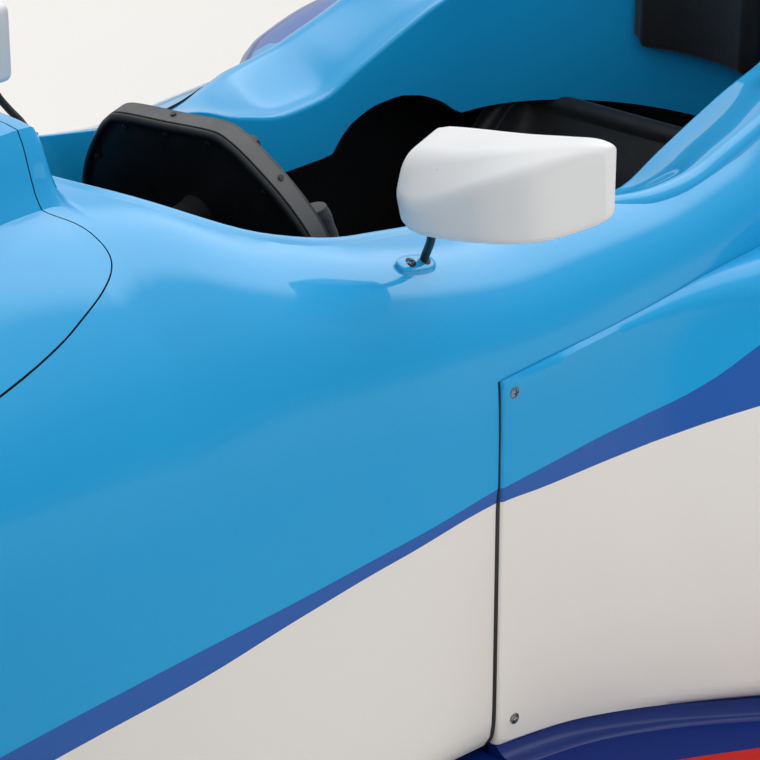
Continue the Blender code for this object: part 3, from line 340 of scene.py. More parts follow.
materials = {
    "body": glossPaint("bodyPaint"),
    "blue": glossPaint("bluePaint", stripes=False),
    "white": whitePaint(),
    "satin": satinWhite(),
    "floor": floorPaint(),
    "floorPlain": glossPaint("floorPlain", stripes=False, colour="floor blue"),
    "carbon": carbonWeave(),
    "lining": mouldedPlastic("cockpitLining", "leather black", 0.75),
    "leather": leather("blackLeather", "leather black", 0.0022),
    "suede": leather("blackSuede", "webbing black", 0.0012),
    "plastic": mouldedPlastic("mouldedPlastic", "moulded black", 0.42),
    "grip": mouldedPlastic("greyGrip", "suede grey", 0.6),
    "band": mouldedPlastic("greyBand", "band grey", 0.5),
    "tyre": tyreRubber(),
    "magnesium": metal("castMagnesium", "magnesium grey", 0.38),
    "alloy": metal("castAlloy", "alloy grey", 0.45),
    "steel": metal("zincSteel", "steel", 0.32, 0.0008, 0.06),
    "disc": metal("carbonDisc", "suede grey", 0.5, 0.0012, 0.1),
    "caliperGrey": metal("anodisedCaliper", "alloy grey", 0.4, 0.001, 0.08),
    "nutBlue": metal("anodisedNut", "stripe blue", 0.3, 0.001, 0.06),
    "webbing": webbing(),
    "glass": mirrorGlass(),
    "lamp": lampRed(),
    "screen": screenGlass(),
    "ground": studioGround(),
}
print("materials made:", len(materials))


# shape helpers


def readTable(table, x, column):
    # a column of a table of sections at any x, on a smooth curve that never overshoots
    rows = sorted(table)
    xs = [row[0] for row in rows]
    ys = [row[column] for row in rows]
    last = len(xs) - 1
    if x <= xs[0]:
        return ys[0]
    if x >= xs[last]:
        return ys[last]
    steps = [(ys[i + 1] - ys[i]) / (xs[i + 1] - xs[i]) for i in range(last)]

    def slope(i):
        if i in (0, last):
            return steps[min(i, last - 1)]
        before, after = steps[i - 1], steps[i]
        return 0.0 if before * after <= 0 else 2 * before * after / (before + after)

    i = max(k for k in range(last) if xs[k] <= x)
    width = xs[i + 1] - xs[i]
    t = (x - xs[i]) / width
    rise = (2 * t - 3) * t * t
    startShare = (t - 1) * (t - 1) * t * width * slope(i)
    endShare = (t - 1) * t * t * width * slope(i + 1)
    return ys[i] * (1 + rise) - ys[i + 1] * rise + startShare + endShare


def smoothStep(t):
    t = min(1.0, max(0.0, t))
    return t * t * (3 - 2 * t)


def evenly(low, high, step):
    count = max(1, round((high - low) / step))
    return [low + (high - low) * i / count for i in range(count + 1)]


def resampled(points, count, closed=True):
    # the same outline with evenly spaced points
    line = list(points) + ([points[0]] if closed else [])
    lengths = [0.0]
    for a, b in zip(line, line[1:]):
        lengths.append(lengths[-1] + math.dist(a, b))
    total = lengths[-1]
    found, k = [], 0
    for i in range(count):
        want = total * i / (count if closed else count - 1)
        while k < len(line) - 2 and lengths[k + 1] < want:
            k += 1
        span = lengths[k + 1] - lengths[k]
        t = min(1.0, (want - lengths[k]) / span) if span else 0.0
        found.append(tuple(a + (b - a) * t for a, b in zip(line[k], line[k + 1])))
    return found


def smoothPath(points, count):
    # points on a smooth curve through the given ones
    found = []
    last = len(points) - 1
    for i in range(count):
        t = last * i / (count - 1)
        k = min(last - 1, int(t))
        t -= k
        p0, p1, p2, p3 = (Vector(points[min(last, max(0, k + j))]) for j in (-1, 0, 1, 2))
        found.append(tuple(((p1 * 2) + (p2 - p0) * t + (p0 * 2 - p1 * 5 + p2 * 4 - p3) * t * t
            + (p1 * 3 - p0 - p2 * 3 + p3) * t ** 3) / 2))
    return found


def loft(rings, around=False):
    # bridges each ring to the next one; around joins the last to the first
    bm = bmesh.new()
    loops = []
    for ring in rings:
        verts = [bm.verts.new(p) for p in ring]
        loops.append([bm.edges.new(pair) for pair in zip(verts, verts[1:] + verts[:1])])
    order = list(zip(loops, loops[1:])) + ([(loops[-1], loops[0])] if around else [])
    for low, high in order:
        bmesh.ops.bridge_loops(bm, edges=low + high)
    if not around:
        bmesh.ops.contextual_create(bm, geom=loops[0])
        bmesh.ops.contextual_create(bm, geom=loops[-1])
    bmesh.ops.recalc_face_normals(bm, faces=bm.faces)
    return bm


def smoothly(mesh, angle):
    mesh.shade_smooth()
    mesh.set_sharp_from_angle(angle=math.radians(angle))


def newPiece(name, bm, material, body="chassis", replaces=(), slot=None, angle=32.0, riding=True,
    bevel=None):
    mesh = bpy.data.meshes.new(name)
    bm.to_mesh(mesh)
    bm.free()
    smoothly(mesh, angle)
    piece = bpy.data.objects.new(name, mesh)
    bpy.context.scene.collection.objects.link(piece)
    mesh.materials.append(materials[material])
    if riding:
        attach(piece, body)
        if replaces:
            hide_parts(*replaces)
    if bevel:
        addBevel(piece, *bevel)
        settle(piece, angle=angle)
    return piece


def addCut(piece, cutters):
    for cutter in cutters:
        modifier = piece.modifiers.new(cutter.name, "BOOLEAN")
        modifier.operation = "DIFFERENCE"
        modifier.solver = "EXACT"
        modifier.material_mode = "TRANSFER"
        modifier.object = cutter


def settle(piece, helpers=(), angle=32.0):
    # makes the modifiers' result the piece's own mesh, and clears the cutters away
    graph = bpy.context.evaluated_depsgraph_get()
    mesh = bpy.data.meshes.new_from_object(piece.evaluated_get(graph), preserve_all_data_layers=True,
        depsgraph=graph)
    piece.modifiers.clear()
    piece.data = mesh
    smoothly(mesh, angle)
    for used in helpers:
        bpy.data.objects.remove(used)


def cutAway(piece, cutters, angle=32.0):
    addCut(piece, cutters)
    settle(piece, cutters, angle)


def addBevel(piece, width, segments, angle=40.0):
    modifier = piece.modifiers.new("edges", "BEVEL")
    modifier.width = width
    modifier.segments = segments
    modifier.limit_method = "ANGLE"
    modifier.angle_limit = math.radians(angle)
    modifier.harden_normals = False


def extruded(outline, axis, low, high):
    # a flat outline extruded along an axis; it holds the other two coordinates in x, y, z order
    bm = bmesh.new()
    place = "xyz".index(axis)
    face = bm.faces.new([bm.verts.new((*spot[:place], low, *spot[place:])) for spot in outline])
    raised = bmesh.ops.extrude_face_region(bm, geom=[face])
    verts = [v for v in raised["geom"] if isinstance(v, bmesh.types.BMVert)]
    move = Vector()
    move[place] = high - low
    bmesh.ops.translate(bm, vec=move, verts=verts)
    bmesh.ops.recalc_face_normals(bm, faces=bm.faces)
    return bm


def helper(name, bm, material="lining"):
    piece = newPiece(name, bm, material, riding=False)
    piece.hide_render = True
    return piece


def tube(points, radius, segments, radii=None):
    # a round bar swept along points
    rings = []
    side = None
    for i, point in enumerate(points):
        along = (Vector(points[min(i + 1, len(points) - 1)]) - Vector(points[max(i - 1, 0)])).normalized()
        if side is None:
            side = along.orthogonal().normalized()
        side = (side - along * side.dot(along)).normalized()
        up = along.cross(side)
        size = radii[i] if radii else radius
        turns = [2 * math.pi * k / segments for k in range(segments)]
        rings.append([Vector(point) + side * size * math.cos(turn) + up * size * math.sin(turn)
            for turn in turns])
    return loft(rings)


def merged(target, other):
    # the other bmesh's geometry added to the target's
    mesh = bpy.data.meshes.new("part")
    other.to_mesh(mesh)
    other.free()
    target.from_mesh(mesh)
    bpy.data.meshes.remove(mesh)


# survival cell with the cockpit's collar

cell = {
    # x, half width, bottom z, widest z, top z, roundness of the upper half
    "sections": (
        (-0.62, 0.335, 0.050, 0.33, 0.700, 4.5),
        (-0.47, 0.345, 0.050, 0.33, 0.695, 5.5),
        (-0.32, 0.348, 0.050, 0.33, 0.666, 6.5),
        (-0.20, 0.350, 0.050, 0.33, 0.628, 6.5),
        (-0.10, 0.350, 0.050, 0.33, 0.594, 6.5),
        (0.03, 0.348, 0.050, 0.33, 0.578, 6.2),
        (0.20, 0.342, 0.050, 0.33, 0.580, 5.2),
        (0.36, 0.330, 0.052, 0.33, 0.605, 4.5),
        (0.47, 0.313, 0.052, 0.335, 0.640, 3.6),
        (0.58, 0.295, 0.052, 0.34, 0.678, 2.9),
        (0.66, 0.282, 0.055, 0.34, 0.683, 2.6),
        (0.85, 0.250, 0.080, 0.35, 0.655, 2.6),
        (1.10, 0.210, 0.155, 0.37, 0.600, 2.8),
        (1.35, 0.168, 0.238, 0.385, 0.538, 3.0),
        (1.50, 0.145, 0.276, 0.39, 0.503, 3.0),
    ),
    "lower roundness": 22.0,
    # x, half width, top z
    "ridge": (
        (0.620, 0.074, 0.680), (0.626, 0.076, 0.704), (0.632, 0.077, 0.737), (0.641, 0.078, 0.749),
        (0.675, 0.078, 0.752), (0.740, 0.076, 0.742), (0.830, 0.070, 0.712), (0.930, 0.060, 0.670),
        (1.020, 0.048, 0.631), (1.090, 0.036, 0.602), (1.15, 0.03, 0.588),
    ),
    # plan of the hatch's rear seam, from the middle to its straight side
    "hatch": ((0.661, 0.0), (0.6605, 0.04), (0.658, 0.078), (0.6535, 0.102), (0.6440, 0.122),
        (0.6392, 0.137), (0.6383, 0.154), (0.6398, 0.165), (0.6442, 0.174), (0.6537, 0.1822),
        (0.6694, 0.1896), (0.6875, 0.1950), (0.714, 0.2005), (0.735, 0.2035), (0.770, 0.2055),
        (0.805, 0.2055)),
    # where the hatch's straight sides end, and its front edge
    "hatch front": (1.22, 1.25),
    "rear": -0.62, "front": 1.50, "wall": 0.030,
    "points": 150, "step": 0.017,
}

opening = {
    "half width": 0.21, "front": 0.60, "corner": 0.22, "turn": -0.28, "bow": 0.19,
    # x, rim z, crest z, flange width
    "sections": (
        (-0.47, 0.788, 0.796, 0.032),
        (-0.40, 0.708, 0.732, 0.070),
        (-0.29, 0.617, 0.652, 0.100),
        (-0.22, 0.598, 0.624, 0.100),
        (-0.165, 0.580, 0.604, 0.100),
        (-0.10, 0.557, 0.586, 0.100),
        (-0.04, 0.536, 0.572, 0.100),
        (0.02, 0.533, 0.568, 0.094),
        (0.08, 0.545, 0.569, 0.072),
        (0.16, 0.565, 0.573, 0.038),
        (0.24, 0.576, 0.578, 0.020),
    ),
    # lower edge of the skirt inside the cockpit: x, z
    "skirt": (
        (-0.47, 0.452), (-0.33, 0.456), (-0.282, 0.457), (-0.251, 0.476), (-0.225, 0.490),
        (-0.197, 0.500), (-0.165, 0.506), (-0.128, 0.505), (-0.10, 0.498), (-0.077, 0.488),
        (-0.051, 0.464), (-0.02, 0.464), (0.12, 0.466), (0.36, 0.500), (0.50, 0.590), (0.60, 0.640),
    ),
    "skin": 0.012,
}


def ridgeRise(x, y, top):
    table = cell["ridge"]
    if not table[0][0] < x < table[-1][0]:
        return 0.0
    height = max(0.0, readTable(table, x, 2) - top)
    halfWidth = readTable(table, x, 1)
    return height * (1 - smoothStep((abs(y) - halfWidth + 0.006) / 0.026))


def cellTop(x, y):
    halfWidth, middle, top, power = (readTable(cell["sections"], x, i) for i in (1, 3, 4, 5))
    share = min(1.0, abs(y) / halfWidth)
    return middle + (top - middle) * (1 - share ** power) ** (1 / power) + ridgeRise(x, y, top)


def roundedLine(half, bottom, middle, top, upper, lower, steps):
    # y, z round a section whose halves above and below the middle have their own roundness
    line = []
    for i in range(steps):
        angle = 2 * math.pi * i / steps
        c, s = math.cos(angle), math.sin(angle)
        p = 2 / (upper if s >= 0 else lower)
        z = middle + (top - middle) * s ** p if s >= 0 else middle - (middle - bottom) * (-s) ** p
        line.append((half * math.copysign(abs(c) ** p, c), z))
    return line


def cellRing(x, grow, count, ridged):
    half, bottom, middle, top, power = (readTable(cell["sections"], x, i) for i in (1, 2, 3, 4, 5))
    line = roundedLine(half + grow, bottom - grow, middle, top + grow, power, cell["lower roundness"], 720)
    if ridged:
        line = [(y, z + ridgeRise(x, y, top) if z > middle else z) for y, z in line]
    return [(x, y, z) for y, z in resampled(line, count or cell["points"])]


def cellStations(rear, front, step):
    # closer together where the ridge rises
    found = evenly(rear, front, step)
    low, high = 0.610, 0.668
    if rear < low and front > high:
        found = [x for x in found if not low < x < high] + evenly(low, high, 0.0045)
    return sorted(set(round(x, 5) for x in found))


def cellLoft(rear, front, grow=0.0, step=None, count=None, ridged=True):
    places = cellStations(rear, front, step or cell["step"])
    return loft([cellRing(x, grow, count, ridged) for x in places])


def openingPath():
    # once round the cockpit opening from the front's middle by the left: x, y and outward direction
    shape = opening
    reach, corner = shape["half width"], shape["corner"]
    left = []
    middle = shape["front"] - corner
    for i in range(22):
        angle = math.pi / 2 * i / 21
        x, y = middle + corner * math.cos(angle), reach * math.sin(angle)
        out = Vector((math.cos(angle) / corner, math.sin(angle) / reach)).normalized()
        left.append((x, y, out.x, out.y))
    left += [(x, reach, 0.0, 1.0) for x in reversed(evenly(shape["turn"], middle, 0.015))][1:]
    for i in range(1, 17):
        angle = math.pi / 2 * i / 16
        x = shape["turn"] - shape["bow"] * math.sin(angle)
        y = reach * math.cos(angle)
        out = Vector((-math.sin(angle) / shape["bow"], math.cos(angle) / reach)).normalized()
        left.append((x, y, out.x, out.y))
    return left + [(x, -y, dx, -dy) for x, y, dx, dy in reversed(left[1:-1])]


def collarSizes(x, y, dx, dy):
    # rim z, crest z and flange width; ahead of the arms the collar lies flush with the cell's skin
    rim, crest, flange = (readTable(opening["sections"], x, i) for i in (1, 2, 3))
    flush = smoothStep((x - 0.10) / 0.12)
    inner, outer = cellTop(x, y), cellTop(x + dx * flange, y + dy * flange)
    rim = rim * (1 - flush) + (inner + 0.0008) * flush
    crest = crest * (1 - flush) + (outer - 0.0010) * flush
    return rim, crest, flange


def collarRing(station):
    x, y, dx, dy = station
    rim, crest, flange = collarSizes(*station)
    skirt = min(readTable(opening["skirt"], x, 1), rim - 0.03)
    low = min(rim, crest, cellTop(x + dx * flange, y + dy * flange)) - 0.035
    wall = 0.22 * max(0.0, crest - cellTop(x + dx * (flange + 0.01), y + dy * (flange + 0.01)) - 0.012)
    lip = 0.0065 - 0.0045 * smoothStep((x - 0.05) / 0.12)
    line = [(0.0, skirt), (0.0, rim - lip)]
    line += [(lip - lip * math.cos(a), rim - lip + lip * math.sin(a)) for a in (0.4, 0.8, 1.2, math.pi / 2)]
    edge = min(0.014, flange * 0.4)
    for i in range(1, 11):
        t = i / 10
        rise = smoothStep(t * 0.85) / smoothStep(0.85)
        line.append((lip + (flange - edge - lip) * t, rim + (crest - rim) * rise))
    drop = edge if flange > 0.03 else 0.002
    line += [(flange - edge + edge * math.sin(a), crest - drop * (1 - math.cos(a)))
        for a in (0.4, 0.8, 1.2, 1.5)]
    line += [(flange + wall, low), (opening["skin"], low), (opening["skin"], skirt)]
    return [(x + dx * a, y + dy * a, z) for a, z in line]


def cutOutline(inset):
    # the cell's own cut edge, hidden under the collar
    found = []
    for station in openingPath():
        x, y, dx, dy = station
        reach = collarSizes(*station)[2] - inset
        found.append((x + dx * reach, y + dy * reach))
    return found


def hatchLine(grow):
    # the seam seen from above, grown outwards by a little
    left = smoothPath(cell["hatch"], 40)
    start, tip = cell["hatch front"]
    for x in evenly(left[-1][0] + 0.03, start, 0.03):
        left.append((x, min(left[39][1], 0.86 * readTable(cell["sections"], x, 1))))
    last = left[-1][1]
    left += [(start + 0.03 * math.sin(a), last * math.cos(a) ** 0.5) for a in (0.3, 0.6, 0.9, 1.2, 1.45)]
    left.append((tip, 0.0))
    line = left + [(x, -y) for x, y in reversed(left[1:-1])]
    found = []
    for i, point in enumerate(line):
        along = Vector(line[(i + 1) % len(line)]) - Vector(line[i - 1])
        out = Vector((-along.y, along.x)).normalized()
        found.append(tuple(Vector(point) + out * grow))
    return found


def makeCell():
    tub = newPiece("tubShell", cellLoft(cell["rear"], cell["front"]), "body", replaces=("survival_cell",),
        slot="blue_paint")
    hollow = helper("tubHollow", cellLoft(-0.49, 1.16, -cell["wall"], 0.05, 60, False))
    hole = helper("tubHole", extruded(cutOutline(0.006), "z", 0.40, 1.0))
    seam = 0.0011
    core = helper("tubCore", cellLoft(0.42, 1.40, -0.006))
    band = newPiece("hatchSeam", extruded(hatchLine(seam), "z", 0.40, 0.90), "lining", riding=False)
    inner = helper("hatchBand", extruded(hatchLine(-0.0002), "z", 0.38, 0.92))
    addCut(band, [core, inner])
    settle(band)
    band.hide_render = True
    addCut(tub, [hollow, hole, band])
    settle(tub, [hollow, hole, core, band, inner])
    newPiece("cockpitCollar", loft([collarRing(s) for s in openingPath()], around=True), "blue",
        replaces=("cockpit_surround", "hatch_cover"), slot="blue_paint", angle=50)


makeCell()
print("cell and collar made")

# outlines and small fittings


def filleted(points, radii, steps=5):
    # a closed 2D outline with its corners rounded; radii is one number or one for each corner
    found = []
    count = len(points)
    for i, point in enumerate(points):
        here = Vector(point)
        before = Vector(points[i - 1]) - here
        after = Vector(points[(i + 1) % count]) - here
        radius = radii[i] if isinstance(radii, (list, tuple)) else radii
        half = before.angle(after) / 2
        reach = radius / math.tan(half) if half > 0.05 else 0.0
        reach = min(reach, before.length * 0.49, after.length * 0.49)
        if reach < 1e-5 or half > math.pi / 2 - 0.02:
            found += [tuple(here)] * (steps + 1)
            continue
        start, end = here + before.normalized() * reach, here + after.normalized() * reach
        for k in range(steps + 1):
            t = k / steps
            found.append(tuple(start * (1 - t) ** 2 + here * (2 * t * (1 - t)) + end * t ** 2))
    return found


def box(a0, a1, b0, b1):
    return ((a0, b0), (a1, b0), (a1, b1), (a0, b1))


def hexagon(radius, low, high):
    corners = [(radius * math.cos(math.pi / 3 * i), radius * math.sin(math.pi / 3 * i)) for i in range(6)]
    return extruded(corners, "z", low, high)


def distinct(points):
    return [p for i, p in enumerate(points) if math.dist(p, points[i - 1]) > 1e-6]


def moved(bm, place, along=(0, 0, 1)):
    # turns the shape's z to a direction and puts its origin at a place
    turn = Vector(along).to_track_quat("Z", "Y").to_matrix().to_4x4()
    bmesh.ops.transform(bm, matrix=Matrix.Translation(place) @ turn, verts=bm.verts)
    return bm


def revolved(profile, steps):
    # (radius, height) points turned about z
    bm = bmesh.new()
    verts = [bm.verts.new((r, 0, z)) for r, z in profile]
    edges = [bm.edges.new(pair) for pair in zip(verts, verts[1:])]
    bmesh.ops.spin(bm, geom=verts + edges, cent=(0, 0, 0), axis=(0, 0, 1), angle=2 * math.pi, steps=steps,
        use_merge=True)
    bmesh.ops.remove_doubles(bm, verts=bm.verts, dist=1e-6)
    bmesh.ops.recalc_face_normals(bm, faces=bm.faces)
    return bm


def revolvedRing(profile, steps):
    return revolved(list(profile) + [profile[0]], steps)


def screwHead(radius):
    # a raised countersunk head with a cross recess, on z
    bm = revolved([(0.0, -0.002), (radius, -0.002), (radius, 0.0), (radius * 0.97, radius * 0.10),
        (radius * 0.7, radius * 0.22), (radius * 0.3, radius * 0.28), (0.0, radius * 0.30)], 20)
    head = newPiece("screwHead", bm, "steel", riding=False)
    arm, width = radius * 0.62, radius * 0.16
    cross = [(arm, -width), (arm, width), (width, width), (width, arm), (-width, arm), (-width, width),
        (-arm, width), (-arm, -width), (-width, -width), (-width, -arm), (width, -arm), (width, -width)]
    recess = helper("screwRecess", extruded(cross, "z", radius * -0.14, radius), "steel")
    cutAway(head, [recess])
    found = bmesh.new()
    found.from_mesh(head.data)
    bpy.data.objects.remove(head)
    return found


def copies(shape, places):
    # the shape at each place; places holds positions and directions
    whole = bmesh.new()
    for place, along in places:
        merged(whole, moved(shape.copy(), place, along))
    shape.free()
    return whole


def flankY(x, z, grow):
    # the cell's half width at a height
    halfWidth, bottom, middle, top, power = (readTable(cell["sections"], x, i) for i in (1, 2, 3, 4, 5))
    if z >= middle:
        share = min(1.0, (z - middle) / (top - middle))
    else:
        share, power = min(1.0, (middle - z) / (middle - bottom)), cell["lower roundness"]
    return halfWidth * (1 - share ** power) ** (1 / power) + grow


# sidepods and floor

pod = {
    # x, top half width, bottom half width, top z, top corner radius
    "sections": (
        (-1.28, 0.330, 0.360, 0.370, 0.050), (-1.14, 0.450, 0.500, 0.410, 0.070),
        (-1.00, 0.580, 0.630, 0.450, 0.080), (-0.80, 0.655, 0.688, 0.480, 0.090),
        (-0.50, 0.655, 0.695, 0.490, 0.090), (-0.30, 0.590, 0.690, 0.490, 0.075),
        (-0.15, 0.470, 0.660, 0.488, 0.055), (-0.06, 0.398, 0.590, 0.485, 0.040),
        (0.046, 0.359, 0.482, 0.478, 0.018), (0.145, 0.3480, 0.402, 0.470, 0.007),
        (0.220, 0.3445, 0.362, 0.466, 0.0045), (0.2985, 0.3385, 0.3400, 0.4612, 0.0035),
    ),
    "bottom": 0.0620, "inner": 0.2510,
    # inner y, outer y, bottom z, top z, rearmost x
    "inlet": (0.505, 0.635, 0.13, 0.42, -0.48),
    # height along the panel's front edge of the two screws
    "screws": ((0.283, 0.4465), (0.279, 0.089)),
}


def podWidth(x, z):
    # the pod's half width at a height below its top corner
    topWidth, bottomWidth, top, radius = (readTable(pod["sections"], x, i) for i in (1, 2, 3, 4))
    high, low = top - radius, pod["bottom"] + min(radius, 0.02)
    share = min(1.0, max(0.0, (high - z) / (high - low)))
    bulge = 0.03 * math.sin(math.pi * share) * min(1.0, max(0.0, (0.1 - x) / 0.4))
    return topWidth + (bottomWidth - topWidth) * share ** 1.25 + bulge


def podRing(x, side, inset=0.0):
    topWidth, top, radius = (readTable(pod["sections"], x, i) for i in (1, 3, 4))
    bottom = pod["bottom"]
    topWidth, top, foot = topWidth - inset, top - inset, min(radius, 0.02)
    line = [(pod["inner"], bottom), (pod["inner"], top)]
    for i in range(9):
        angle = math.pi / 2 * (1 - i / 8)
        line.append((topWidth - radius + radius * math.cos(angle), top - radius + radius * math.sin(angle)))
    high, low = top - radius, bottom + foot
    line += [(podWidth(x, high - (high - low) * i / 30) - inset, high - (high - low) * i / 30)
        for i in range(1, 31)]
    last = line[-1][0]
    line += [(last - foot + foot * math.cos(a), low - foot * math.sin(a))
        for a in (0.4, 0.8, 1.2, math.pi / 2)]
    fixed, rest = line[:2], resampled(line[1:], 79, closed=False)[1:]
    return [(x, y * side, z) for y, z in fixed + rest]


def makePods():
    envelope = helper("cellEnvelope", cellLoft(cell["rear"] - 0.0008, cell["front"], 0.0006, 0.02, 120,
        False))
    rear, front = pod["sections"][0][0], pod["sections"][-1][0]
    inner, outer, low, high, back = pod["inlet"]
    outline = filleted(box(inner, outer, low, high), 0.045, 8)
    screws = []
    for name, side in sides.items():
        places = evenly(rear, -0.20, 0.03) + evenly(-0.20, front - 0.004, 0.012)[1:]
        rings = [podRing(x, side) for x in places]
        rings += [podRing(front - 0.004 + 0.004 * math.sin(a), side, 0.004 * (1 - math.cos(a)))
            for a in (0.4, 0.8, 1.2, math.pi / 2)]
        piece = newPiece("sidepodShell" + name.title(), loft(rings), "body", replaces=("sidepod_" + name,),
            slot="white_paint", angle=40)
        duct = helper("inletDuct", loft([[(x, y * side, z) for y, z in outline]
            for x in (back, -0.30, 0.28)]))
        addCut(piece, [envelope, duct])
        settle(piece, [duct], 40)
        fins = bmesh.new()
        for i in range(27):
            y = inner + 0.008 + (outer - inner - 0.016) * i / 26
            merged(fins, extruded(box(back + 0.012, back + 0.052, y - 0.0007, y + 0.0007), "z", low + 0.006,
                high - 0.006))
        bmesh.ops.scale(fins, vec=(1, side, 1), verts=fins.verts)
        bmesh.ops.recalc_face_normals(fins, faces=fins.faces)
        newPiece("radiatorFins" + name.title(), fins, "alloy")
        for x, height in pod["screws"]:
            screws.append(((x, (podWidth(x, height) + 0.0002) * side, height), (0.05, side, 0.0)))
        # dark strips in the joints between the panel and the cell: painted shade standing in for the shadowed
        # gap, wider on the lower flank
        rows = []
        for z in evenly(0.056, 0.461, 0.0075):
            half = 0.0022 - 0.0015 * smoothStep((z - 0.325) / 0.03)
            x = front + half
            inside, outside = flankY(x, z, -0.0015) * side, flankY(x, z, 0.0012) * side
            rows.append([(a, y, z) for a, y in box(x - half, x + half, inside, outside)])
        newPiece("panelGapShade" + name.title(), loft(rows), "plastic", angle=60)
    bpy.data.objects.remove(envelope)
    newPiece("panelScrews", copies(screwHead(0.0060), screws), "steel")


makePods()
print("sidepods made")

floor = {
    # x, half width of the floor's outline
    "outline": ((1.00, 0.0), (0.998, 0.08), (0.98, 0.14), (0.96, 0.18), (0.88, 0.210), (0.80, 0.23),
        (0.70, 0.248), (0.58, 0.270), (0.45, 0.300), (0.40, 0.322), (0.36, 0.345), (0.325, 0.370),
        (0.29, 0.400), (0.25, 0.440), (0.21, 0.492), (0.16, 0.550), (0.11, 0.610), (0.065, 0.654),
        (0.02, 0.680), (-0.04, 0.696), (-0.10, 0.700), (-0.60, 0.700), (-1.05, 0.700), (-1.12, 0.660),
        (-1.18, 0.600), (-1.23, 0.572), (-1.28, 0.560)),
    "bottom": 0.036, "top": 0.0492,
}


def makeFloor():
    half = floor["outline"]
    outline = list(half) + [(x, -y) for x, y in reversed(half) if y]
    newPiece("floorPan", extruded(outline, "z", floor["bottom"], floor["top"]), "floor",
        replaces=("floor",), slot="dark_blue_paint", angle=40, bevel=(0.0045, 4))
    # the floor's own upstand under the sidepods
    upstand = bmesh.new()
    for side in sides.values():
        rows = []
        for x in evenly(-1.24, pod["sections"][-1][0], 0.02):
            foot = podWidth(x, pod["bottom"] + 0.01) - 0.001
            reach, low, high = 0.030, floor["top"] - 0.003, pod["bottom"] + 0.0015
            line = [(foot - 0.012, low), (foot - 0.012, high), (foot - 0.002, high)]
            line += [(foot + reach * (1 - math.cos(a)), floor["top"] + 0.0006
                + (high - floor["top"] - 0.0006) * (1 - math.sin(a))) for a in (0.25, 0.5, 0.8, 1.1, 1.4)]
            line.append((foot + reach, low))
            rows.append([(x, y * side, z) for y, z in line])
        merged(upstand, loft(rows))
    newPiece("floorUpstand", upstand, "floorPlain", angle=50)
    newPiece("woodenPlank", extruded(filleted(box(-1.20, 0.90, -0.15, 0.15), 0.03, 4), "z", 0.0262, 0.0358),
        "grip", bevel=(0.002, 2))


makeFloor()
print("floor made")

# mirrors

mirror = {
    "inner": 0.287, "width": 0.186,
    # share of the width, rear x, front x, bottom z, z of the crease, top z, x and z of the upper face's swell
    "sections": (
        (0.00, 0.335, 0.399, 0.633, 0.668, 0.719, 0.389, 0.702),
        (0.06, 0.332, 0.402, 0.631, 0.665, 0.7205, 0.386, 0.705),
        (0.14, 0.328, 0.405, 0.631, 0.665, 0.722, 0.379, 0.707),
        (0.25, 0.324, 0.406, 0.633, 0.671, 0.724, 0.372, 0.709),
        (0.50, 0.318, 0.402, 0.639, 0.695, 0.728, 0.364, 0.721),
        (0.75, 0.313, 0.384, 0.646, 0.7175, 0.7345, 0.350, 0.732),
        (0.94, 0.310, 0.346, 0.6585, 0.7305, 0.739, 0.330, 0.7385),
        (1.00, 0.309, 0.332, 0.6655, 0.732, 0.7385, 0.322, 0.7385),
    ),
    # corners of a section, from the rear top round by the bottom, with their radii
    "radii": (0.007, 0.008, 0.015, 0.022, 0.035),
    # the right one stands a little further forward and out
    "right shift": (0.010, -0.004, 0.0),
    "foot": (0.3445, 0.2676), "plate": (0.0228, 0.0095), "plate turn": 174.0, "bolts": (0.0080, -0.0108),
    "stalk": ((0.3338, 0.2682, 0.568), (0.3340, 0.2690, 0.580), (0.3375, 0.2760, 0.592),
        (0.3440, 0.2850, 0.604), (0.3520, 0.2940, 0.620), (0.3580, 0.3000, 0.640)),
}


def mirrorRing(share, side, inset=0.0, shift=0.0, taper=0.0):
    rear, front, low, crease, high, swellX, swellZ = (readTable(mirror["sections"], share, i)
        for i in range(1, 8))
    corners = ((rear, high), (rear, low), (front - 0.009, low), (front, crease), (swellX, swellZ))
    centre = Vector((rear + 0.012, (low + high) / 2))
    rounded = filleted(corners, mirror["radii"], 7)
    y = (mirror["inner"] + mirror["width"] * share + shift) * side
    found = []
    for point in rounded:
        away = Vector(point) - centre
        away = Vector((away.x * (1 - taper) if away.x > 0 else away.x, away.y))
        away *= max(0.0, 1 - inset / max(0.02, away.length))
        found.append((centre.x + away.x, y, centre.y + away.y))
    return found


def mirrorPane(outline, plane, side, grow, near, far):
    # a sheet of glass or its recess, parallel to the rear face; plane holds x, slope and y
    middle = Vector((sum(y for y, z in outline) / len(outline), sum(z for y, z in outline) / len(outline)))
    rows = []
    for depth in (near, far):
        row = []
        for point in outline:
            out = Vector(point) - middle
            y, z = Vector(point) + out.normalized() * grow
            row.append((plane[0] + plane[1] * (y - plane[2]) + depth, y * side, z))
        rows.append(row)
    return loft(rows)


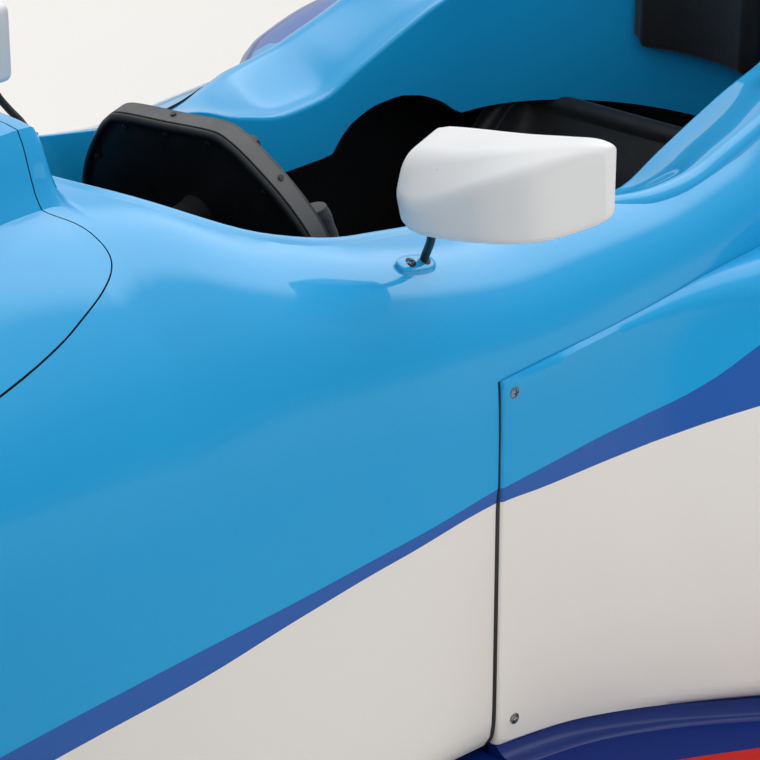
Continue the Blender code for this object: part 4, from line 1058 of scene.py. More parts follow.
def mirrorPlate(side):
    turn = math.radians(mirror["plate turn"])
    along = Vector((math.cos(turn), math.sin(turn)))
    over = Vector((-along.y, along.x))
    middle = Vector(mirror["foot"])
    reach, half = mirror["plate"]
    ring = []
    for i in range(40):
        angle = 2 * math.pi * i / 40
        c, s = math.cos(angle), math.sin(angle)
        ring.append(middle + along * (reach * math.copysign(abs(c) ** 0.75, c)) + over
            * (half * math.copysign(abs(s) ** 0.85, s)))
    rows = []
    for grow, rise in ((1.0, -0.004), (1.0, 0.0030), (0.97, 0.0042), (0.90, 0.0048), (0.5, 0.0050)):
        spots = [middle + (spot - middle) * grow for spot in ring]
        rows.append([(x, y * side, cellTop(x, y) + rise) for x, y in spots])
    bolts = []
    for share in mirror["bolts"]:
        x, y = middle - along * share
        bolts.append(((x, y * side, cellTop(x, y) + 0.0044), (0.12, 0.45 * side, 1.0)))
    return loft(rows), bolts


def aside(bm, side):
    if side < 0:
        bmesh.ops.translate(bm, vec=mirror["right shift"], verts=bm.verts)
    return bm


def makeMirrors():
    plates, bolts = bmesh.new(), []
    edge = 0.010
    turns = (math.pi / 2, 1.25, 0.9, 0.6, 0.3, 0.0)
    for name, side in sides.items():
        rings = [mirrorRing(0.0, side, edge * (1 - math.cos(a)) * 0.8, edge * (1 - math.sin(a)) * 0.6)
            for a in turns]
        rings += [mirrorRing(s, side) for s in evenly(0.07, 0.80, 0.03)]
        for i in range(1, 11):
            t = i / 10
            bend = 1 - math.sqrt(max(0.0, 1 - t * t))
            rings.append(mirrorRing(0.80 + 0.20 * math.sin(t * math.pi / 2), side, 0.007 * bend, 0.0,
                0.42 * (1 - math.cos(t * math.pi / 2))))
        shell = newPiece("mirrorShell" + name.title(), aside(loft(rings), side), "satin",
            replaces=("mirror_" + name,), slot="white_paint", angle=50)
        # glass let into the rear face
        shares = (0.08, 0.88)
        ends = [[readTable(mirror["sections"], s, i) for i in (1, 3, 5)] for s in shares]
        ys = [mirror["inner"] + mirror["width"] * s for s in shares]
        plane = (ends[0][0], (ends[1][0] - ends[0][0]) / (ys[1] - ys[0]), ys[0])
        outline = filleted(((ys[0], ends[0][1] + 0.010), (ys[1], ends[1][1] + 0.010),
            (ys[1], ends[1][2] - 0.010), (ys[0], ends[0][2] - 0.010)), 0.014, 6)
        recess = helper("mirrorRecess", aside(mirrorPane(outline, plane, side, 0.0, -0.02, 0.006), side),
            "plastic")
        cutAway(shell, [recess], 50)
        newPiece("mirrorGlass" + name.title(), aside(mirrorPane(outline, plane, side, -0.0006, 0.0035,
            0.0062), side), "glass")
        points = [(x, y * side, z) for x, y, z in mirror["stalk"]]
        newPiece("mirrorStalk" + name.title(), aside(tube(smoothPath(points, 22), 0.0042, 16), side),
            "plastic", angle=50)
        plate, found = mirrorPlate(side)
        merged(plates, aside(plate, side))
        shift = Vector(mirror["right shift"]) if side < 0 else Vector()
        bolts += [(Vector(place) + shift, along) for place, along in found]
    newPiece("mirrorFootPlates", plates, "blue", angle=50)
    newPiece("mirrorBolts", copies(screwHead(0.0062), bolts), "plastic")


makeMirrors()
print("mirrors made")

# steering wheel and column

wheel = {
    "centre": (0.37, 0.0, 0.565), "rake": 15.0, "depth": 0.030,
    # the driver left it a few degrees off straight, within the play that the road wheels don't show
    "turn": 5.5, "turn centre": -0.09,
    # right half of the outline: across, up
    "outline": ((0.0, 0.101), (0.066, 0.101), (0.086, 0.094), (0.102, 0.082), (0.119, 0.065),
        (0.135, 0.047), (0.150, 0.026), (0.162, 0.003), (0.167, -0.022), (0.163, -0.050), (0.148, -0.078),
        (0.115, -0.094), (0.070, -0.098), (0.0, -0.098)),
    # across and up of the cover's screws, the knobs, and the push buttons with their colours
    "screws": ((0.0, 0.088), (0.060, 0.088), (-0.060, 0.088), (0.120, 0.044), (-0.120, 0.044),
        (0.146, -0.030), (-0.146, -0.030), (0.06, -0.086), (-0.06, -0.086)),
    "knobs": ((0.078, 0.070), (-0.078, 0.070), (0.098, 0.044), (-0.098, 0.044), (0.112, 0.016),
        (-0.112, 0.016), (0.030, -0.052), (-0.030, -0.052)),
    "buttons": ((0.066, 0.044, "lamp"), (-0.066, 0.044, "lamp"), (0.074, 0.012, "grip"),
        (-0.074, 0.012, "grip"), (0.076, -0.030, "floorPlain"), (-0.076, -0.030, "grip")),
    "column radius": 0.016, "column length": 0.24,
}


def columnFrame():
    # local x up the wheel's face, y across, z to the driver
    rake = math.radians(wheel["rake"])
    up = Vector((math.sin(rake), 0, math.cos(rake)))
    back = Vector((-math.cos(rake), 0, math.sin(rake)))
    turn = Matrix((up, back.cross(up), back)).transposed().to_4x4()
    return Matrix.Translation(wheel["centre"]) @ turn


def wheelLine(inset, count=130):
    right = [Vector(p) for p in smoothPath(wheel["outline"], 90)]
    line = [(a, b) for a, b in right] + [(-a, b) for a, b in reversed(right[1:-1])]
    line = resampled(line, count)
    if not inset:
        return line
    found = []
    for i, point in enumerate(line):
        along = (Vector(line[(i + 1) % count]) - Vector(line[i - 1])).normalized()
        found.append(tuple(Vector(point) + Vector((along.y, -along.x)) * inset))
    return found


def onColumn(bm, turned=True):
    spot = columnFrame()
    if turned:
        low = Vector((wheel["turn centre"], 0, 0))
        turn = Matrix.Rotation(math.radians(-wheel["turn"]), 4, "Z")
        spot = spot @ Matrix.Translation(low) @ turn @ Matrix.Translation(-low)
    bmesh.ops.transform(bm, matrix=spot, verts=bm.verts)
    return bm


def addToWheel(name, bm, material, turned=True, **settings):
    newPiece(name, onColumn(bm, turned), material, "steering_wheel", **settings)


def makeWheelCover():
    depth = wheel["depth"]
    # cover seen from ahead: a rolled edge round a sunk panel, then the side with its joint line
    profile = [(0.016, 0.0040), (0.0100, 0.0040), (0.0085, 0.0032), (0.0078, 0.0010), (0.0060, 0.0),
        (0.0045, 0.0), (0.0022, 0.0006), (0.0008, 0.0018), (0.0, 0.0036), (0.0, 0.0050), (0.0012, 0.0054),
        (0.0012, 0.0062), (0.0, 0.0066), (0.0, depth - 0.0050), (0.0008, depth - 0.0022),
        (0.0024, depth - 0.0008), (0.0045, depth), (0.016, depth)]
    rings = []
    for inset, height in profile:
        rings.append([(b, a, height) for a, b in wheelLine(inset)])
    addToWheel("steeringWheelBody", loft(rings), "plastic", replaces=("steering_wheel",),
        slot="black_plastic", angle=42)
    # grey textured band let into the cover's side
    strip = [(0.003, 0.0072), (-0.0004, 0.0074), (-0.0004, depth - 0.0056), (0.003, depth - 0.0054)]
    rings = [[(b, a, height) for a, b in wheelLine(inset)] for inset, height in strip]
    addToWheel("wheelBand", loft(rings), "band", angle=42)
    for name, side in sides.items():
        # wrapped grips, thicker under the palm
        places = smoothPath([(-0.086, 0.120 * side, 0.034), (-0.060, 0.130 * side, 0.038),
            (-0.025, 0.136 * side, 0.041), (0.006, 0.134 * side, 0.042)], 26)
        radii = [0.0150 + 0.0025 * math.sin(math.pi * i / 25) + 0.0005 * math.sin(i * 1.25)
            for i in range(26)]
        addToWheel("handGrip" + name.title(), tube(places, 0.015, 22, radii=radii), "suede", angle=60,
            bevel=(0.004, 3, 60))
    screws = [((b, a, 0.0012), (0, 0, -1)) for a, b in wheel["screws"]]
    edges = []
    line = wheelLine(0.0, 24)
    for i in (0, 4, 9, 15, 20):
        a, b = line[i]
        ahead, behind = line[(i + 1) % 24], line[i - 1]
        along = (Vector(ahead) - Vector(behind)).normalized()
        edges.append(((b, a, 0.019), (-along.x, along.y, 0.0)))
    addToWheel("wheelScrews", copies(screwHead(0.0030), screws + edges), "plastic")


def makeWheelControls():
    depth = wheel["depth"]
    # rotary knobs with ribbed skirts
    knobs = bmesh.new()
    for a, b in wheel["knobs"]:
        knob = revolved([(0.0, -0.001), (0.0115, -0.001), (0.0115, 0.004), (0.0100, 0.005), (0.0092, 0.012),
            (0.0078, 0.0135), (0.0, 0.0138)], 36)
        for vert in knob.verts:
            if 0.0045 < vert.co.z < 0.0125:
                turn = math.atan2(vert.co.y, vert.co.x)
                vert.co.xy *= 1 + 0.05 * math.cos(turn * 12)
        merged(knobs, moved(knob, (b, a, depth)))
        merged(knobs, moved(extruded(filleted(box(-0.001, 0.001, -0.002, 0.009), 0.0006, 2), "z", 0.0130,
            0.0146), (b, a, depth)))
    addToWheel("rotaryKnobs", knobs, "plastic", angle=40)
    for material, name in (("lamp", "redButtons"), ("grip", "greyButtons"), ("floorPlain", "blueButton")):
        caps = bmesh.new()
        for a, b, kind in wheel["buttons"]:
            if kind == material:
                merged(caps, moved(revolved([(0.0, 0.0), (0.0078, 0.0), (0.0078, 0.0030), (0.0070, 0.0038),
                    (0.0062, 0.0030), (0.0060, 0.0052), (0.0048, 0.0066), (0.0, 0.0070)], 28),
                    (b, a, depth)))
        addToWheel(name, caps, material)
    # display with a rounded bezel
    bezel = extruded(filleted(box(0.012, 0.062, -0.048, 0.048), 0.006, 4), "z", depth - 0.001,
        depth + 0.004)
    addToWheel("displayBezel", bezel, "grip", bevel=(0.0012, 3))
    screen = extruded(filleted(box(0.018, 0.056, -0.041, 0.041), 0.003, 3), "z", depth + 0.0035,
        depth + 0.0046)
    addToWheel("displayWindow", screen, "screen")


def makeColumn():
    # column with its quick release
    radius, length = wheel["column radius"], wheel["column length"]
    profile = [(0.0, -length), (radius - 0.002, -length), (radius, -length + 0.002), (radius, -0.062),
        (radius + 0.001, -0.060), (0.0215, -0.060), (0.0225, -0.0585), (0.0225, -0.046), (0.0215, -0.0445),
        (0.0195, -0.0445), (0.0195, -0.004), (0.0205, 0.0045), (0.0, 0.0045)]
    addToWheel("steeringColumn", revolved(profile, 48), "lining", turned=False, angle=40)


makeWheelCover()
makeWheelControls()
makeColumn()
print("steering wheel made")


# dash, seat, belts and headrest

def makeDash():
    # carbon hoop that carries the column's bearing
    inverse = columnFrame()
    x = (inverse @ Vector((0, 0, -0.15))).x
    low, high = 0.402, 0.598
    outline = []
    for z in evenly(low, high, 0.012):
        outline.append((flankY(x, z, -0.0365), z))
    across = [(y, min(z, cellTop(x, y) - 0.0365)) for y, z in outline]
    left = across + [(across[-1][0] * share, min(high, cellTop(x, across[-1][0] * share) - 0.0365))
        for share in (0.8, 0.6, 0.4, 0.2, 0.0)]
    whole = left + [(-y, z) for y, z in reversed(left[:-1])]
    plate = newPiece("dashHoop", extruded(whole, "x", x - 0.012, x + 0.012), "carbon",
        replaces=("dash_bulkhead",), slot="carbon")
    bore = helper("columnBore", onColumn(revolved([(0.0, -0.22), (0.0172, -0.22), (0.0172, -0.06),
        (0.0, -0.06)], 40)), "alloy")
    window = []
    for side in (-1, 1):
        shape = filleted(((0.055 * side, 0.43), (0.20 * side, 0.43), (0.215 * side, 0.55),
            (0.055 * side, 0.50)), 0.02)
        window.append(helper("dashWindow", extruded(shape, "x", x - 0.03, x + 0.03), "carbon"))
    cutAway(plate, [bore] + window)
    ring = revolvedRing([(0.0172, -0.166), (0.030, -0.166), (0.031, -0.165), (0.031, -0.136),
        (0.030, -0.135), (0.0172, -0.135)], 40)
    newPiece("columnBearing", onColumn(ring), "alloy", angle=40)


seat = {
    # x, height, side height, half width
    "path": ((0.22, 0.146, 0.05, 0.20), (0.10, 0.109, 0.09, 0.225), (-0.05, 0.085, 0.11, 0.235),
        (-0.20, 0.102, 0.13, 0.235), (-0.30, 0.188, 0.13, 0.235), (-0.37, 0.318, 0.10, 0.235),
        (-0.42, 0.440, 0.045, 0.225)),
    "thick": 0.016, "corner": 0.05,
}


def seatRow(t):
    # one section of the seat's U, t from 0 at the knees to 1 at the shoulders
    path = seat["path"]
    spots = smoothPath([row[:2] for row in path], 61)
    i = round(t * 60)
    x, z = spots[i]
    before, after = Vector(spots[max(0, i - 1)]), Vector(spots[min(60, i + 1)])
    along = (after - before).normalized()
    normal = Vector((-along.y, along.x))
    if normal.y < 0:
        normal = -normal
    at = t * (len(path) - 1)
    k = min(len(path) - 2, int(at))
    sideHeight, half = (path[k][j] + (path[k + 1][j] - path[k][j]) * (at - k) for j in (2, 3))
    thick, corner = seat["thick"], seat["corner"]
    outer = [(-half, sideHeight), (-half, 0.0), (half, 0.0), (half, sideHeight)]
    inside = [(half - thick, sideHeight), (half - thick, thick), (-half + thick, thick),
        (-half + thick, sideHeight)]
    lip = thick * 0.45
    line = filleted(outer + inside, (lip, corner, corner, lip, lip, corner - thick, corner - thick, lip), 6)
    return [(x + normal.x * up, a, z + normal.y * up) for a, up in line]


def makeSeat():
    rows = [seatRow(i / 60) for i in range(0, 61, 2)]
    newPiece("seatShell", loft(rows), "carbon", replaces=("seat",), slot="black_leather", angle=50,
        bevel=(0.003, 2, 60))
    # padded liner, thicker at the shoulders, with a rolled rim round the top
    bm = bmesh.new()
    columns, lengths = 25, 46
    table = []
    for i in range(lengths):
        t = 0.02 + 0.96 * i / (lengths - 1)
        row = seatRow(t)
        inner = row[28:56]
        line = resampled(inner, columns, closed=False)
        table.append(line)
    grid = [[bm.verts.new(p) for p in line] for line in table]
    loops = [[bm.edges.new(pair) for pair in zip(row, row[1:])] for row in grid]
    for low, high in zip(loops, loops[1:]):
        bmesh.ops.bridge_loops(bm, edges=low + high)
    bmesh.ops.recalc_face_normals(bm, faces=bm.faces)
    middle = grid[lengths // 2][columns // 2]
    if middle.normal.z < 0:
        bmesh.ops.reverse_faces(bm, faces=bm.faces)
    bm.normal_update()
    for i, row in enumerate(grid):
        for k, vert in enumerate(row):
            edge = min(i, lengths - 1 - i) / 4.0
            border = min(k, columns - 1 - k) / 2.0
            swell = smoothStep(min(1.0, edge)) * smoothStep(min(1.0, border))
            channel = 0.0035 * max(0.0, math.cos((i / 5.75) * 2 * math.pi)) ** 6
            vert.co += vert.normal * (0.0012 + (0.011 - channel) * swell)
    liner = newPiece("seatLiner", bm, "leather", angle=75)
    subdivision = liner.modifiers.new("crown", "SUBSURF")
    subdivision.levels = subdivision.render_levels = 1
    settle(liner, angle=75)
    # rolled leather rim along the shoulders and back
    rim = []
    for t in (0.55, 0.62, 0.70, 0.78, 0.86, 0.93, 0.985):
        row = seatRow(t)
        rim.append(tuple((Vector(row[0]) + Vector(row[-1])) / 2))
    last = seatRow(1.0)
    top = [tuple((Vector(last[k]) + Vector(last[55 - k])) / 2) for k in (7, 10, 14)]
    left = rim + top
    path = [(x, y, z) for x, y, z in left] + [(x, -y, z) for x, y, z in reversed(left)]
    roll = newPiece("seatRoll", tube(smoothPath(path, 110), 0.0135, 18), "leather", angle=60)


belts = {
    # webbing centre lines as x, y, z with the left belt's y
    "shoulder": ((-0.420, 0.080, 0.372), (-0.392, 0.080, 0.384), (-0.365, 0.079, 0.366),
        (-0.338, 0.076, 0.318), (-0.290, 0.070, 0.245), (-0.225, 0.060, 0.185), (-0.160, 0.045, 0.152),
        (-0.110, 0.026, 0.138)),
    "lap": ((-0.190, 0.205, 0.205), (-0.165, 0.195, 0.165), (-0.125, 0.160, 0.132),
        (-0.100, 0.110, 0.122), (-0.090, 0.060, 0.128), (-0.088, 0.030, 0.134)),
    "crotch": ((0.060, 0.0, 0.116), (0.010, 0.0, 0.112), (-0.040, 0.0, 0.120), (-0.070, 0.0, 0.132)),
    "buckle": (-0.095, 0.0, 0.140),
}


def strap(points, width, facing):
    # a flat belt along points; facing is the way its face looks
    thick = 0.0016
    path = smoothPath(points, 60)
    rings = []
    for i, point in enumerate(path):
        along = (Vector(path[min(59, i + 1)]) - Vector(path[max(0, i - 1)])).normalized()
        out = Vector(facing)
        out = (out - along * out.dot(along)).normalized()
        over = along.cross(out)
        ring = []
        for a, b in filleted(box(-width / 2, width / 2, 0.0, thick), thick * 0.45, 2):
            ring.append(Vector(point) + over * a + out * b)
        rings.append(ring)
    return loft(rings)


def makeBelts():
    webs = bmesh.new()
    metal = bmesh.new()
    for side in sides.values():
        for key, width, facing in (("shoulder", 0.075, (0.75, 0, 0.6)), ("lap", 0.050, (0.5, 0, 0.85))):
            points = [(x, y * side, z) for x, y, z in belts[key]]
            merged(webs, strap(points, width, facing))
        # adjuster slides on the shoulder belts
        slide = extruded(filleted(box(-0.043, 0.043, -0.016, 0.016), 0.005, 3), "z", 0.0, 0.003)
        merged(metal, moved(slide, (-0.352, 0.0775 * side, 0.356), (0.9, 0, 0.42)))
        tongue = extruded(filleted(((-0.010, -0.020), (0.030, -0.024), (0.030, 0.024), (-0.010, 0.020)),
            0.004, 3), "z", 0.0, 0.0026)
        bmesh.ops.rotate(tongue, cent=(0, 0, 0), matrix=Matrix.Rotation(math.radians(90 * side), 3, "Z"),
            verts=tongue.verts)
        merged(metal, moved(tongue, (-0.092, 0.026 * side, 0.137), (0.25, 0.12 * side, 1.0)))
    merged(webs, strap(belts["crotch"], 0.045, (0, 0, 1)))
    newPiece("harnessWebbing", webs, "webbing", angle=50)
    buckle = revolved([(0.0, 0.0), (0.032, 0.0), (0.034, 0.003), (0.034, 0.012), (0.031, 0.015),
        (0.020, 0.016), (0.018, 0.019), (0.008, 0.0205), (0.0, 0.0205)], 40)
    merged(metal, moved(buckle, belts["buckle"], (0.3, 0, 1)))
    newPiece("harnessBuckle", metal, "steel", angle=40)


def bowPoint(angle):
    # a place on the middle line of the collar's rear bow, with its outward direction
    x = opening["turn"] - opening["bow"] * math.cos(angle)
    y = opening["half width"] * math.sin(angle)
    out = Vector((-math.cos(angle) / opening["bow"], math.sin(angle) / opening["half width"])).normalized()
    return x, y, out.x, out.y


def makeHeadrest():
    # crowned pad that follows the inside of the rear bow
    low, high, thick = 0.530, 0.700, 0.023
    rings = []
    reach = (-0.42, 0.53)
    for i in range(41):
        share = -1 + 2 * i / 40
        x, y, dx, dy = bowPoint(reach[0] + (reach[1] - reach[0]) * i / 40)
        end = smoothStep(min(1.0, (1 - abs(share)) / 0.16))
        depth = 0.010 + (thick - 0.010) * end
        inset = 0.012 * (1 - end)
        section = filleted(box(0.0012, depth, low + inset, high - inset), (0.004, 0.014, 0.014, 0.004), 5)
        swollen = []
        for a, z in section:
            crown = 0.006 * end * (1 - ((z - (low + high) / 2) / ((high - low) / 2)) ** 2)
            a += crown if a > 0.015 else 0.0
            swollen.append((x - dx * a, y - dy * a, z))
        rings.append(swollen)
    pad = newPiece("headPad", loft(rings), "leather", replaces=("headrest_pad",), slot="black_leather",
        angle=60, bevel=(0.004, 3, 60))


makeDash()
makeSeat()
makeBelts()
makeHeadrest()
print("cockpit made")

# engine cover, nose and wings

cover = {
    # x, half width, top z, roundness of the spine that rises to the airbox
    "spine": (
        (-1.62, 0.115, 0.455, 2.4), (-1.45, 0.150, 0.545, 2.3), (-1.30, 0.192, 0.630, 2.1),
        (-1.16, 0.222, 0.710, 2.0), (-1.00, 0.225, 0.800, 1.9), (-0.80, 0.205, 0.895, 1.9),
        (-0.65, 0.165, 0.940, 2.1), (-0.505, 0.130, 0.945, 2.4),
    ),
    # x, half width, top z, roundness of the shoulders that carry on from the cell
    "shoulder": (
        (-1.16, 0.235, 0.440, 3.0), (-1.00, 0.275, 0.530, 3.0), (-0.85, 0.300, 0.590, 3.2),
        (-0.72, 0.322, 0.660, 3.9), (-0.6204, 0.335, 0.698, 4.5),
    ),
    "rear": -1.62, "seam": -0.6204, "front": -0.505, "skin": 0.008,
    # middle, half width and half height of the air intake
    "mouth": (0.862, 0.074, 0.056),
}


def superRadius(angle, across, up, power):
    c, s = abs(math.cos(angle)), abs(math.sin(angle))
    return 1 / ((c / across) ** power + (s / up) ** power) ** (1 / power)


def softMax(a, b, reach):
    h = max(reach - abs(a - b), 0.0) / reach
    return max(a, b) + h * h * reach / 4


def coverBase(x):
    return max(0.385, readTable(pod["sections"], x, 3) + 0.0025)


def coverRing(x, inset=0.0, drop=0.0, count=96):
    base = coverBase(x)
    half, top, power = (readTable(cover["spine"], x, i) for i in (1, 2, 3))
    ring = []
    for i in range(count + 1):
        angle = math.pi * i / count
        radius = superRadius(angle, half, top - base, power)
        if x > cover["seam"]:
            wide, high, roundness = (readTable(cell["sections"], x, k) for k in (1, 4, 5))
            other = superRadius(angle, wide - 0.003, high - 0.003 - base, roundness)
        elif x > cover["shoulder"][0][0]:
            wide, high, roundness = (readTable(cover["shoulder"], x, k) for k in (1, 2, 3))
            other = superRadius(angle, wide, high - base, roundness)
        else:
            other = 0.0
        radius = softMax(radius, other, 0.055) - inset
        ring.append((x, radius * math.cos(angle), base + radius * math.sin(angle)))
    if drop:
        ring = [(x, ring[0][1], base - drop)] + ring + [(x, ring[-1][1], base - drop)]
    return ring


def makeCover():
    places = evenly(cover["rear"], cover["seam"], 0.016) + evenly(cover["seam"], cover["front"] - 0.02,
        0.008)[1:]
    rings = [coverRing(x) for x in places]
    # rounded front edge round the intake
    last = rings[-1]
    middle = Vector((0.0, cover["mouth"][0]))
    for a in (0.35, 0.7, 1.05, 1.35, math.pi / 2):
        x = cover["front"] - 0.02 + 0.02 * math.sin(a)
        pull = 0.022 * (1 - math.cos(a))
        row = []
        for _, y, z in last:
            away = Vector((y, z)) - middle
            y, z = middle + away * (1 - pull / max(0.06, away.length))
            row.append((x, y, z))
        rings.append(row)
    shell = newPiece("engineCover", loft(rings), "body", replaces=("engine_cover",), slot="blue_paint",
        angle=40)
    skin = cover["skin"]
    hollow = helper("coverHollow", loft([coverRing(x, skin, 0.06, 48)
        for x in evenly(-1.70, -0.66, 0.025)]))
    z, half, high = cover["mouth"]
    rows = []
    for x, grow in ((-0.69, -0.018), (-0.60, -0.005), (-0.53, 0.0), (-0.514, 0.003), (-0.508, 0.007),
        (-0.504, 0.013), (-0.48, 0.013)):
        row = []
        for i in range(56):
            angle = 2 * math.pi * i / 56
            c, s = math.cos(angle), math.sin(angle)
            narrow = 1 + 0.22 * max(0.0, s)
            row.append((x, (half + grow) * math.copysign(abs(c) ** 0.85, c) / narrow,
                z + (high + grow) * math.copysign(abs(s) ** 0.85, s)))
        rows.append(row)
    mouth = helper("airMouth", loft(rows))
    cutAway(shell, [hollow, mouth], 40)


nose = {
    "sections": (
        (1.50, 0.145, 0.276, 0.39, 0.503, 3.0), (1.70, 0.122, 0.305, 0.38, 0.452, 2.8),
        (1.88, 0.100, 0.312, 0.362, 0.408, 2.5), (2.00, 0.078, 0.315, 0.350, 0.380, 2.3),
        (2.06, 0.045, 0.325, 0.345, 0.362, 2.2),
    ),
    "pylon": 0.070,
    # front tip of the nose wing and the rearmost point of the rear one
    "front tip": 2.20, "rear tip": -2.20,
}


def noseRing(x, inset=0.0):
    half, bottom, middle, top, power = (readTable(nose["sections"], x, i) for i in range(1, 6))
    lower = 9.0 + (2.4 - 9.0) * smoothStep((x - 1.52) / 0.35)
    line = roundedLine(half - inset, bottom + inset, middle, top - inset, power, lower, 240)
    return [(x, y, z) for y, z in resampled(line, 84)]


def aerofoil(leading, trailing, thickness, camber, count=22):
    # outline in x, z between leading and trailing points, cambered downwards
    lead, trail = Vector(leading), Vector(trailing)
    chord = trail - lead
    normal = Vector((chord.y, -chord.x)).normalized()
    if normal.y < 0:
        normal = -normal
    upper, lower = [], []
    for i in range(count + 1):
        t = (1 - math.cos(math.pi * i / count)) / 2
        bow = -camber * 4 * t * (1 - t)
        swell = 1.48 * math.sqrt(t) - 0.63 * t - 1.76 * t * t + 1.42 * t ** 3 - 0.49 * t ** 4
        half = thickness * swell + 0.0008
        upper.append(tuple(lead + chord * t + normal * (bow + half)))
        lower.append(tuple(lead + chord * t + normal * (bow - half)))
    return upper + lower[::-1]


def shifted(tip, outline):
    return [(tip + a, b) for a, b in outline]


def plate(outline, low, high, radius):
    return extruded(distinct(filleted(outline, radius, 4)), "y", low, high)


def makeNose():
    places = evenly(cell["front"] + 0.0004, 2.02, 0.02)
    rings = [noseRing(x) for x in places]
    for a in (0.3, 0.6, 0.9, 1.15, 1.35, 1.5):
        rings.append(noseRing(2.02 + 0.038 * math.sin(a), 0.016 * (1 - math.cos(a))))
    newPiece("noseCone", loft(rings), "body", replaces=("nose_cone",), slot="blue_paint", angle=40)
    tip = nose["front tip"]
    pylons = bmesh.new()
    for side in sides.values():
        # streamlined struts down to the wing, thickest at a third of their length
        rows = []
        for t in (0.0, 0.25, 0.5, 0.75, 1.0):
            back = -0.40 + 0.10 * t + 0.008 * math.sin(math.pi * t)
            front = -0.24 + 0.10 * t + 0.008 * math.sin(math.pi * t)
            z = 0.345 + (0.1186 - 0.345) * t
            thick = aerofoil((tip + front, 0.0), (tip + back, 0.0), 0.010, 0.0, 14)
            rows.append([(x, y + nose["pylon"] * side, z) for x, y in thick])
        merged(pylons, loft(rows))
    newPiece("wingPylons", pylons, "body", angle=40)


def makeEndplates(end, outline, radii, y, slot, bevel):
    # the two upright sheets at the ends of a wing
    for name, side in sides.items():
        low, high = sorted((y * side, (y + 0.01) * side))
        sheet = extruded(distinct(filleted(outline, radii, 8)), "y", low, high)
        newPiece(end + "Endplate" + name.title(), sheet, "blue", replaces=(end + "_endplate_" + name,),
            slot=slot, angle=40, bevel=(bevel, 3, 50))


def makeFrontWing():
    tip, span = nose["front tip"], 0.6896
    flap = shifted(tip, aerofoil((-0.275, 0.125), (-0.412, 0.185), 0.010, 0.008))
    main = aerofoil((tip - 0.04, 0.090), (tip - 0.30, 0.098), 0.024, 0.010)
    whole = extruded(main, "y", -span, span)
    for side in sides.values():
        low, high = sorted((0.15 * side, span * side))
        merged(whole, extruded(flap, "y", low, high))
        # inner end plates of the flaps, and the slot brackets
        end = shifted(tip, ((-0.262, 0.112), (-0.262, 0.140), (-0.405, 0.206), (-0.420, 0.196),
            (-0.395, 0.140)))
        y = 0.15 * side
        merged(whole, plate(end, min(y, y - 0.003 * side), max(y, y - 0.003 * side), 0.010))
        bracket = shifted(tip, ((-0.262, 0.100), (-0.262, 0.116), (-0.305, 0.136), (-0.340, 0.149),
            (-0.340, 0.140), (-0.300, 0.100)))
        for share in (0.28, 0.62, 0.93):
            y = side * share * span
            merged(whole, plate(bracket, y - 0.0025, y + 0.0025, 0.004))
        # feet that the pylons bolt to
        y = nose["pylon"] * side
        foot = extruded(filleted(box(tip - 0.30, tip - 0.14, y - 0.012, y + 0.012), 0.010, 5), "z", 0.095,
            0.1178)
        merged(whole, foot)
    newPiece("frontWing", whole, "white", replaces=("front_wing",), slot="white_paint", angle=30,
        bevel=(0.0008, 1, 60))
    sideView = shifted(tip, ((-0.004, 0.05), (0.0, 0.11), (-0.10, 0.20), (-0.415, 0.235), (-0.42, 0.21),
        (-0.42, 0.05)))
    makeEndplates("front", sideView, (0.02, 0.03, 0.10, 0.02, 0.01, 0.02), 0.69, "white_paint", 0.0022)


def makeRearWing():
    tip, span = nose["rear tip"], 0.4896
    whole = extruded(shifted(tip, aerofoil((0.42, 0.775), (0.16, 0.800), 0.026, 0.022)), "y", -span, span)
    merged(whole, extruded(shifted(tip, aerofoil((0.165, 0.825), (0.025, 0.890), 0.012, 0.010)), "y", -span,
        span))
    bracket = shifted(tip, ((0.215, 0.788), (0.215, 0.816), (0.150, 0.837), (0.108, 0.848), (0.108, 0.836),
        (0.170, 0.790)))
    for y in (-0.24, 0.24):
        merged(whole, plate(bracket, y - 0.0025, y + 0.0025, 0.005))
    # small upturned strip along the flap's trailing edge
    merged(whole, extruded(shifted(tip, box(0.0265, 0.0285, 0.884, 0.9005)), "y", -span, span))
    newPiece("rearWing", whole, "white", replaces=("rear_wing",), slot="white_paint", angle=30,
        bevel=(0.0008, 1, 60))
    beam = extruded(shifted(tip, aerofoil((0.44, 0.505), (0.24, 0.530), 0.020, 0.014)), "y", -span, span)
    newPiece("beamWing", beam, "white", replaces=("rear_beam_wing",), slot="white_paint", angle=30)
    # streamlined pillar from the gearbox
    rows = []
    for t in (0.0, 0.3, 0.6, 0.85, 1.0):
        z = 0.3806 + 0.126 * t
        front, back = tip + 0.48 - 0.08 * t, tip + 0.34 - 0.04 * t
        rows.append([(x, y, z) for x, y in aerofoil((front, 0.0), (back, 0.0), 0.022, 0.0, 14)])
    newPiece("wingPillar", loft(rows), "carbon", angle=40)
    sideView = shifted(tip, ((0.48, 0.46), (0.48, 0.84), (0.40, 0.92), (0.0, 0.92), (0.0, 0.60),
        (0.15, 0.42), (0.40, 0.42)))
    makeEndplates("rear", sideView, (0.05, 0.05, 0.06, 0.03, 0.05, 0.06, 0.04), 0.49, "blue_paint", 0.0025)
    # bolts that hold the planes to the endplates
    bolts = []
    for side in sides.values():
        for x, z in ((0.375, 0.778), (0.215, 0.792), (0.125, 0.842), (0.050, 0.876), (0.39, 0.512),
            (0.29, 0.520)):
            bolts.append(((tip + x, 0.5001 * side, z), (0, side, 0)))
    newPiece("endplateBolts", copies(screwHead(0.0055), bolts), "steel")


makeCover()
makeNose()
makeFrontWing()
makeRearWing()
print("engine cover, nose and wings made")

# wheels

